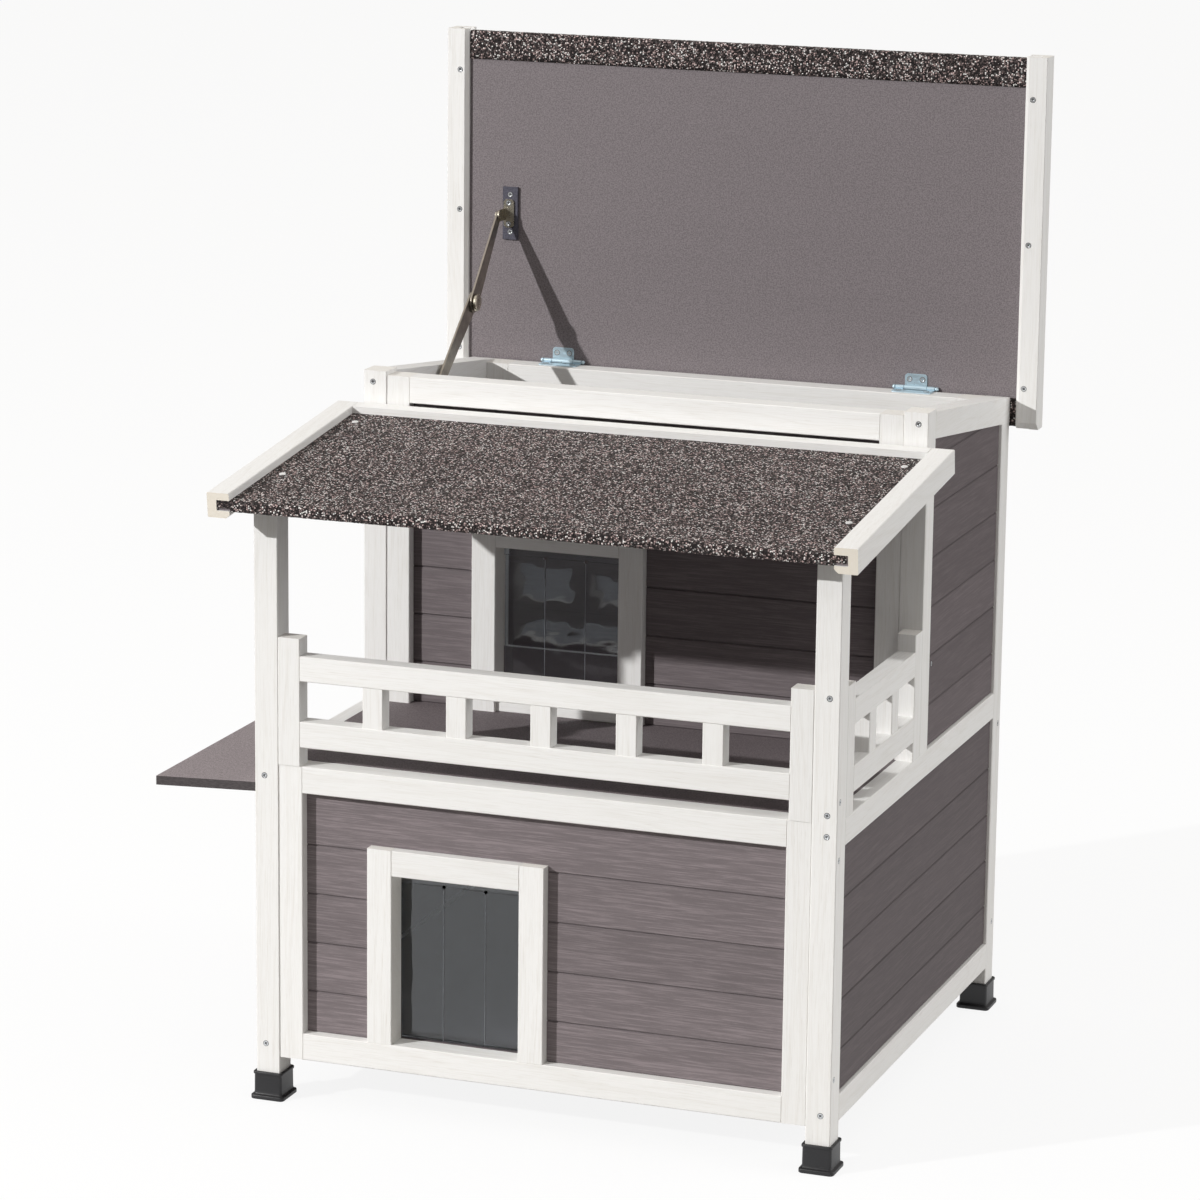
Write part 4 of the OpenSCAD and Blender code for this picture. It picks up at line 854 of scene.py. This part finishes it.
class CATHOUSE_OT_hinges(CatHousePiece, bpy.types.Operator):
    """Makes the two blue zinc hinges with their barrels and ball-ended pins"""

    bl_idname = "cathouse.hinges"
    bl_label = "Hinges"

    def execute(self, context):
        zinc = plated("blue_zinc", "zinc", 0.22, (60, 300, 300), metal=0.5)
        _, y, z = pivot("lid_hinge")
        leaf_low, leaf_high = span("hinge_lower_leaves")
        lower, upper, pins = [], [], []
        corner = sizes().leaf_corner
        for x in (leaf_low[0] + HALF_LEAF, leaf_high[0] - HALF_LEAF):
            at = np.array([x, y, z])
            up = rounded_box(2 * UPPER_HALF, UPPER_REACH + corner, corner)
            up = up + [x, z + (UPPER_REACH - corner) / 2]
            upper += [plate(up, y + BARREL - LEAF_THICK, y + BARREL, "Y"), self.part(UPPER_BARREL, at)]
            lower += [self.part(LOWER_BARREL, at, -1), self.part(LOWER_BARREL, at), self.leaf(at, corner)]
            pins += [self.part(BALL, at, -1), self.part(BALL, at), self.part(PIN, at)]
        for name, parts, body, node in (
                ("hinge_leaves_on_rail", lower, "root", "hinge_lower_leaves"),
                ("hinge_leaves_on_lid", upper, "lid", "hinge_upper_leaves"),
                ("hinge_pins_with_balls", pins, "root", "hinge_pins")):
            build(name, *together(*parts), zinc, body, "zinc_plate", [node], node == "hinge_pins")
        return {"FINISHED"}

    def part(self, profile, at, sign=1):
        """A profile turned about the pin, mirrored where sign is -1."""
        return turned([(sign * a * MM, r * MM) for a, r in profile][::sign], at)

    def leaf(self, at, corner):
        """The leaf on the rail: a plate with round front corners, cut out behind the other leaf."""
        ring = []
        for sign in (1, -1):
            centre = (sign * (HALF_LEAF - corner), corner - LOWER_REACH)
            part = [(centre[0] + sign * corner * math.cos(t), centre[1] - corner * math.sin(t))
                    for t in np.linspace(0, math.pi / 2, 7)]
            ring += part[::sign]
        back, notch = LEAF_THICK, -NOTCH_DEPTH
        ring += [(-HALF_LEAF, back), (-HALF_NOTCH, back), (-HALF_NOTCH, notch), (HALF_NOTCH, notch),
                 (HALF_NOTCH, back), (HALF_LEAF, back)]
        ring = np.array(ring)[::-1] + at[:2]
        z = at[2] - BARREL
        return skin(np.stack([np.column_stack([ring, np.full(len(ring), v)]) for v in (z, z + LEAF_THICK)]))


ARM_THICK = 2 * MM
UPPER_END, LOWER_END, KNUCKLE_END = 5.5 * MM, 7 * MM, 11.5 * MM  # radii of the arms' round ends
KNOB_THICK, KNOB_RADIUS = 5.5 * MM, 9.5 * MM


class CATHOUSE_OT_stay(CatHousePiece, bpy.types.Operator):
    """Makes the folding stay of the lid: bracket, two flat arms, knob and wall plate"""

    bl_idname = "cathouse.stay"
    bl_label = "Lid stay"

    def execute(self, context):
        steel = plated("stay_steel", "steel", 0.30, (500, 90, 90))
        bright = plated("knob_steel", "bracket", 0.2, (90, 90, 90), edge_gain=1.3)
        bend = span("stay_upper_arm")[0][1:] + KNUCKLE_END
        for node, joint, small in (("stay_upper_arm", "stay_lid_pivot", UPPER_END),
                                   ("stay_lower_arm", "stay_wall_pivot", LOWER_END)):
            x = span(node)[0][0]
            outline = self.strip(pivot(joint)[1:], bend, small, KNUCKLE_END)
            parts = [plate(outline, x, x + ARM_THICK, "X", 0.35 * MM)]
            flat = len(parts[0][1])
            if node == "stay_upper_arm":
                parts.append(turned(self.knob(), np.array([x + ARM_THICK, *bend])))
            points, faces = together(*parts)
            piece = build(node + "_strip", points, faces, steel, node, "stay_steel", [node], False)
            if len(faces) > flat:
                second_finish(piece, bright, np.arange(len(faces)) >= flat)
        paint_node("stay_bracket", bright)
        paint_node("stay_wall_plate", steel)
        return {"FINISHED"}

    def knob(self):
        """Profile of the knob: a washer, a waist, a rounded drum and a shallow dome on its face."""
        dome, t, r = sizes().knob_dome, KNOB_THICK, KNOB_RADIUS
        rim = [(0.0, 0.55), (0.0, 0.74), (0.11, 0.76), (0.14, 0.72), (0.2, 0.72), (0.24, 0.96),
               (0.30, 1.0), (0.66, 1.0), (0.74, 0.97)]
        return [(a * t, b * r) for a, b in rim] + [
            (t - dome + dome * math.sin(a), 0.94 * r * math.cos(a) + 0.1 * MM)
            for a in np.linspace(0.35, math.pi / 2, 8)]

    def strip(self, start, end, small, large):
        """Outline of an arm: part of a circle round each pivot, joined by two straight edges that touch
        both; the circles meet the edges where sin(turn) = (large - small) / length."""
        start, end = np.array(start), np.array(end)
        gap = np.linalg.norm(end - start)
        way = (end - start) / gap
        side = np.array([-way[1], way[0]])
        lean = math.asin((large - small) / gap)
        outline = []
        for centre, radius, first, last in (
                (start, small, math.pi / 2 + lean, 3 * math.pi / 2 - lean),
                (end, large, -math.pi / 2 - lean, math.pi / 2 + lean)):
            turn = np.linspace(first, last, 19)
            outline.append(centre + radius * (np.cos(turn)[:, None] * way + np.sin(turn)[:, None] * side))
        return np.concatenate(outline)


def loose_parts(node):
    """Points of each solid of a CAD node, found by spreading the lowest label over shared corners."""
    mesh = frame["nodes"][node].data
    mesh.calc_loop_triangles()
    points = gathered(mesh.vertices, "co")
    unique, back = np.unique(np.round(points * 1e5).astype(int), axis=0, return_inverse=True)
    faces = back.ravel()[gathered(mesh.loop_triangles, "vertices", int)]
    label = np.arange(len(unique))
    for _ in range(400):
        lowest = label[faces].min(1)
        before = label.copy()
        for corner in range(3):
            np.minimum.at(label, faces[:, corner], lowest)
        if (label == before).all():
            break
    return [unique[label == name] / 1e5 for name in np.unique(label)]


def screw_surface(points, segments):
    """A countersunk screw where the CAD solid lies: head with a pressed cross, cone and shank.

    The head's top is a polar grid whose depth is the cross's, -d * max(bar(x, y), bar(y, x)); rings
    below it follow the cone to the shank's radius and run to its end. Also returned: each point's
    distance from the axis over the head's radius, and its share of the cross."""
    low, high = points.min(0), points.max(0)
    axis = int(np.argmax(high - low))
    others = [i for i in range(3) if i != axis]
    middle = (low + high) / 2
    radius = (high - low)[others].max() / 2
    reach = np.linalg.norm((points - middle)[:, others], axis=1)
    near_low = reach[points[:, axis] < low[axis] + 0.1 * MM].max()
    near_high = reach[points[:, axis] > high[axis] - 0.1 * MM].max()
    sign, top = (1, high[axis]) if near_high > near_low else (-1, low[axis])
    shank = min(near_low, near_high)
    turn = np.linspace(0, 2 * math.pi, segments, endpoint=False) + 0.35 + 900 * (low[0] + low[2])
    share = np.array([*np.linspace(0.03, 0.62, 12), 0.70, 0.80, 0.90, 0.955, 0.985, 1.0])[:, None]
    u, v = np.cos(turn - turn[0]) * share, np.sin(turn - turn[0]) * share
    soft = lambda a, at, over: np.clip((at - np.abs(a)) / over + 0.5, 0, 1)
    cross = np.maximum(soft(u, 0.16, 0.07) * soft(v, 0.56, 0.08), soft(v, 0.16, 0.07) * soft(u, 0.56, 0.08))
    fall = 0.45 * MM * cross * (1 - share * 0.6) + 0.10 * MM * np.clip((share - 0.9) / 0.1, 0, 1)
    fall = fall + (0.03 if axis == 0 else -0.15) * MM
    rings = [(at * radius * 0.995, *row, at) for at, *row in zip(share[:, 0], fall, cross)]
    length = (high - low)[axis]
    cone = min(radius - shank, length * 0.6)
    for r, depth in ((shank, cone), (shank, length - 0.4 * MM), (shank * 0.5, length)):
        rings.append((r, np.full(segments, depth), np.zeros(segments), 1.2))
    out = np.empty((len(rings), segments, 3))
    for ring, (r, depth, _, _) in zip(out, rings):
        ring[:, axis] = top - sign * depth
        ring[:, others] = middle[others] + r * np.stack([np.cos(turn), np.sin(turn)], 1)
    rim = np.repeat([ring[3] for ring in rings], segments)
    marks = np.concatenate([ring[2] for ring in rings])
    handed = (-1 if axis == 1 else 1) * sign
    return skin(out, flip=handed > 0), rim, marks


def screw_finish():
    """Zinc-plated screw: pale worn land, a darkened cross, and painted shade as a dark ring at the
    countersink.
    """
    paint = Paint("screw_steel")
    rim = paint.node("Attribute", {"attribute_name": "rim"}, {}, "Fac")
    cross = paint.node("Attribute", {"attribute_name": "cross"}, {}, "Fac")
    stain = paint.noise(paint.place, 900.0, 3.0, 0.6)
    brushed = paint.noise(paint.place, 5200.0, 2.0, 0.6)
    # Painted shade: a dark ring where the head meets the countersink; the pressed cross is darkened as well.
    dark_cross_and_rim_shade = (cross.between(0.2, 0.8) + rim.between(0.76, 0.92)).math("MINIMUM", 1.0)
    base = paint.coats(hue("screw"), (stain.between(0.3, 0.7), hue("screw", 1.25)),
                       (dark_cross_and_rim_shade * 0.93, (0.018, 0.018, 0.02)))
    return paint.done(base, 0.24 + stain * 0.14 + dark_cross_and_rim_shade * 0.4, brushed, 0.00008, 0.4,
                      {"Metallic": 1 - dark_cross_and_rim_shade * 0.8})


class CATHOUSE_OT_screws(CatHousePiece, bpy.types.Operator):
    """Turns the countersunk screws with their pressed crosses, and finishes the roof nails"""

    bl_idname = "cathouse.screws"
    bl_label = "Screws and nails"

    def execute(self, context):
        steel = screw_finish()
        for node, body in (("wood_screws", "root"), ("lid_screws", "lid")):
            made = [screw_surface(part, sizes().segments) for part in loose_parts(node)]
            points, faces = together(*(part for part, _, _ in made))
            piece = build("crossed_" + node, points, faces, steel, body, "screw_steel", [node], True)
            for name, index in (("rim", 1), ("cross", 2)):
                values = np.concatenate([part[index] for part in made])
                piece.data.attributes.new(name, "FLOAT", "POINT").data.foreach_set("value", values)
        paint_node("roof_nails", plated("nail_heads", "nail", 0.38, (700, 700, 700), 900.0, metal=0.15))
        return {"FINISHED"}


# Radius of the round floor sheet that lights the object from below, in metres
FLOOR_NEAR = 1.55
# Rise between which the sky gets paler, what its top adds, its strength all round, and its tint
SKY_FROM, SKY_TO = 0.25, 0.75
SKY_TOP, SKY_ALL = 0.46, 0.25
SKY_TINT = (1.0, 0.965, 0.92)
# Power in watts and place of the main lamp and of the side panel
LAMP_POWER, LAMP_PLACE = 1850, (-4.52, -4.78, 3.2)
PANEL_POWER, PANEL_PLACE = 75, (4.2, 0.9, 1.6)
WHITE = (1, 1, 1, 1)
# The camera's right, up and backward directions and its place, as fitted to the photograph
CAMERA_AXES = (
    (0.937913, 0.346703, 0.0108), (-0.088081, 0.207935, 0.974169), (0.335501, -0.914637, 0.225563))
CAMERA_PLACE = (1.62963, -4.43029, 1.5841)


class CATHOUSE_OT_stage(CatHousePiece, bpy.types.Operator):
    """Sets up the pale floor, the white backdrop, the lamps and the camera"""

    bl_idname = "cathouse.stage"
    bl_label = "Stage"

    def execute(self, context):
        scene = context.scene
        scene.view_settings.view_transform = "Standard"
        self.floor()
        self.sky(scene)
        self.lamps()
        self.camera(scene)
        return {"FINISHED"}

    def seen(self, paint):
        """1 for what the camera sees straight on or through a clear sheet."""
        camera, clear = (paint.node("LightPath", {}, {}, name)
                         for name in ("Is Camera Ray", "Is Transmission Ray"))
        return camera.math("MAXIMUM", clear)

    def floor(self):
        """A pale floor that the camera sees nearly white; the sheet that lights the object from below
        is a round one, and the ground beyond it is dark."""
        paint = Paint("studio_floor")
        seen = self.seen(paint)
        x, y, _ = paint.axes()
        far = (x * x + y * y).math("SQRT").between(FLOOR_NEAR, FLOOR_NEAR + 0.15) * (1 - seen)
        mirrored = paint.node("LightPath", {}, {}, "Is Glossy Ray") * (1 - far)
        speck = paint.noise(paint.place, 40.0, 3.0)
        base = paint.mix(speck * 0.05, hue("floor"), hue("floor", 0.95))
        base = paint.mix(far, base, (0.03, 0.03, 0.032))
        base = paint.mix(seen, base, (0.9, 0.9, 0.9))
        matt = paint.node("BsdfDiffuse", {}, {"Color": base})
        glow = paint.node("Emission", {}, {"Color": WHITE, "Strength": 1.0})
        both = paint.node("MixShader", {}, {0: seen.math("MAXIMUM", mirrored) * 0.88, 1: matt, 2: glow})
        paint.node("OutputMaterial", {}, {"Surface": both})
        mesh = bpy.data.meshes.new("studio_floor")
        mesh.from_pydata([(-12, -12, 0), (12, -12, 0), (12, 12, 0), (-12, 12, 0)], [], [(0, 1, 2, 3)])
        mesh.materials.append(paint.material)
        floor = linked("studio_floor", mesh)

    def sky(self, scene):
        """Pale light from above and a little from all round; the camera sees plain white."""
        scene.world = bpy.data.worlds.new("studio_sky")
        paint = Paint("studio_sky", scene.world)
        way = paint.node("TexCoord", {}, {}, "Generated")
        rise = paint.axes(way)[2].between(SKY_FROM, SKY_TO)
        soft = paint.node("Background", {}, {"Color": (*SKY_TINT, 1), "Strength": rise * SKY_TOP + SKY_ALL})
        white = paint.node("Background", {}, {"Color": WHITE, "Strength": 1.0})
        both = paint.node("MixShader", {}, {0: self.seen(paint), 1: soft, 2: white})
        paint.node("OutputWorld", {}, {"Surface": both})

    def lamps(self):
        """One small, strong main lamp at the front left, and a broad weak one at the right."""
        lamp = bpy.data.lights.new("main_lamp", "POINT")
        lamp.energy, lamp.shadow_soft_size, lamp.color = LAMP_POWER, 0.07, (1.0, 0.995, 0.985)
        linked("main_lamp", lamp).location = LAMP_PLACE
        panel = bpy.data.lights.new("side_panel", "AREA")
        panel.shape, panel.size, panel.size_y, panel.energy = "RECTANGLE", 2.4, 2.4, PANEL_POWER
        side = linked("side_panel", panel)
        side.location = PANEL_PLACE
        side.rotation_euler = (0, math.radians(82), math.radians(10))

    def camera(self, scene):
        """The camera at the photograph's place and angle."""
        lens = bpy.data.cameras.new("camera")
        lens.sensor_width, lens.lens, lens.clip_end = 36, sizes().lens, 100
        camera = linked("camera", lens)
        camera.matrix_world = Matrix([*zip(*CAMERA_AXES, CAMERA_PLACE), (0, 0, 0, 1)])
        scene.camera = camera


STEPS = (CATHOUSE_OT_timbers, CATHOUSE_OT_boards, CATHOUSE_OT_panels, CATHOUSE_OT_felt, CATHOUSE_OT_feet,
         CATHOUSE_OT_flaps, CATHOUSE_OT_hinges, CATHOUSE_OT_stay, CATHOUSE_OT_screws, CATHOUSE_OT_stage)


class CATHOUSE_PT_panel(bpy.types.Panel):
    """Lists the steps with their sizes and colours."""

    bl_label = "Cat house"
    bl_idname = "CATHOUSE_PT_panel"
    bl_space_type = "VIEW_3D"
    bl_region_type = "UI"
    bl_category = "Cat house"

    def draw(self, context):
        for group in (context.scene.cat_house_sizes, context.scene.cat_house_colours):
            column = self.layout.column(align=True)
            for name in group.__annotations__:
                column.prop(group, name)
        for step in STEPS:
            self.layout.operator(step.bl_idname)


CLASSES = (CatHouseSizes, CatHouseColours, *STEPS, CATHOUSE_PT_panel)


def register():
    for item in CLASSES:
        bpy.utils.register_class(item)
    bpy.types.Scene.cat_house_sizes = PointerProperty(type=CatHouseSizes)
    bpy.types.Scene.cat_house_colours = PointerProperty(type=CatHouseColours)


def unregister():
    del bpy.types.Scene.cat_house_colours
    del bpy.types.Scene.cat_house_sizes
    for item in reversed(CLASSES):
        bpy.utils.unregister_class(item)


def main():
    """Runs every step in order."""
    register()
    for step in STEPS:
        group, name = step.bl_idname.split(".")
        getattr(getattr(bpy.ops, group), name)()


if __name__ == "__main__":
    main()
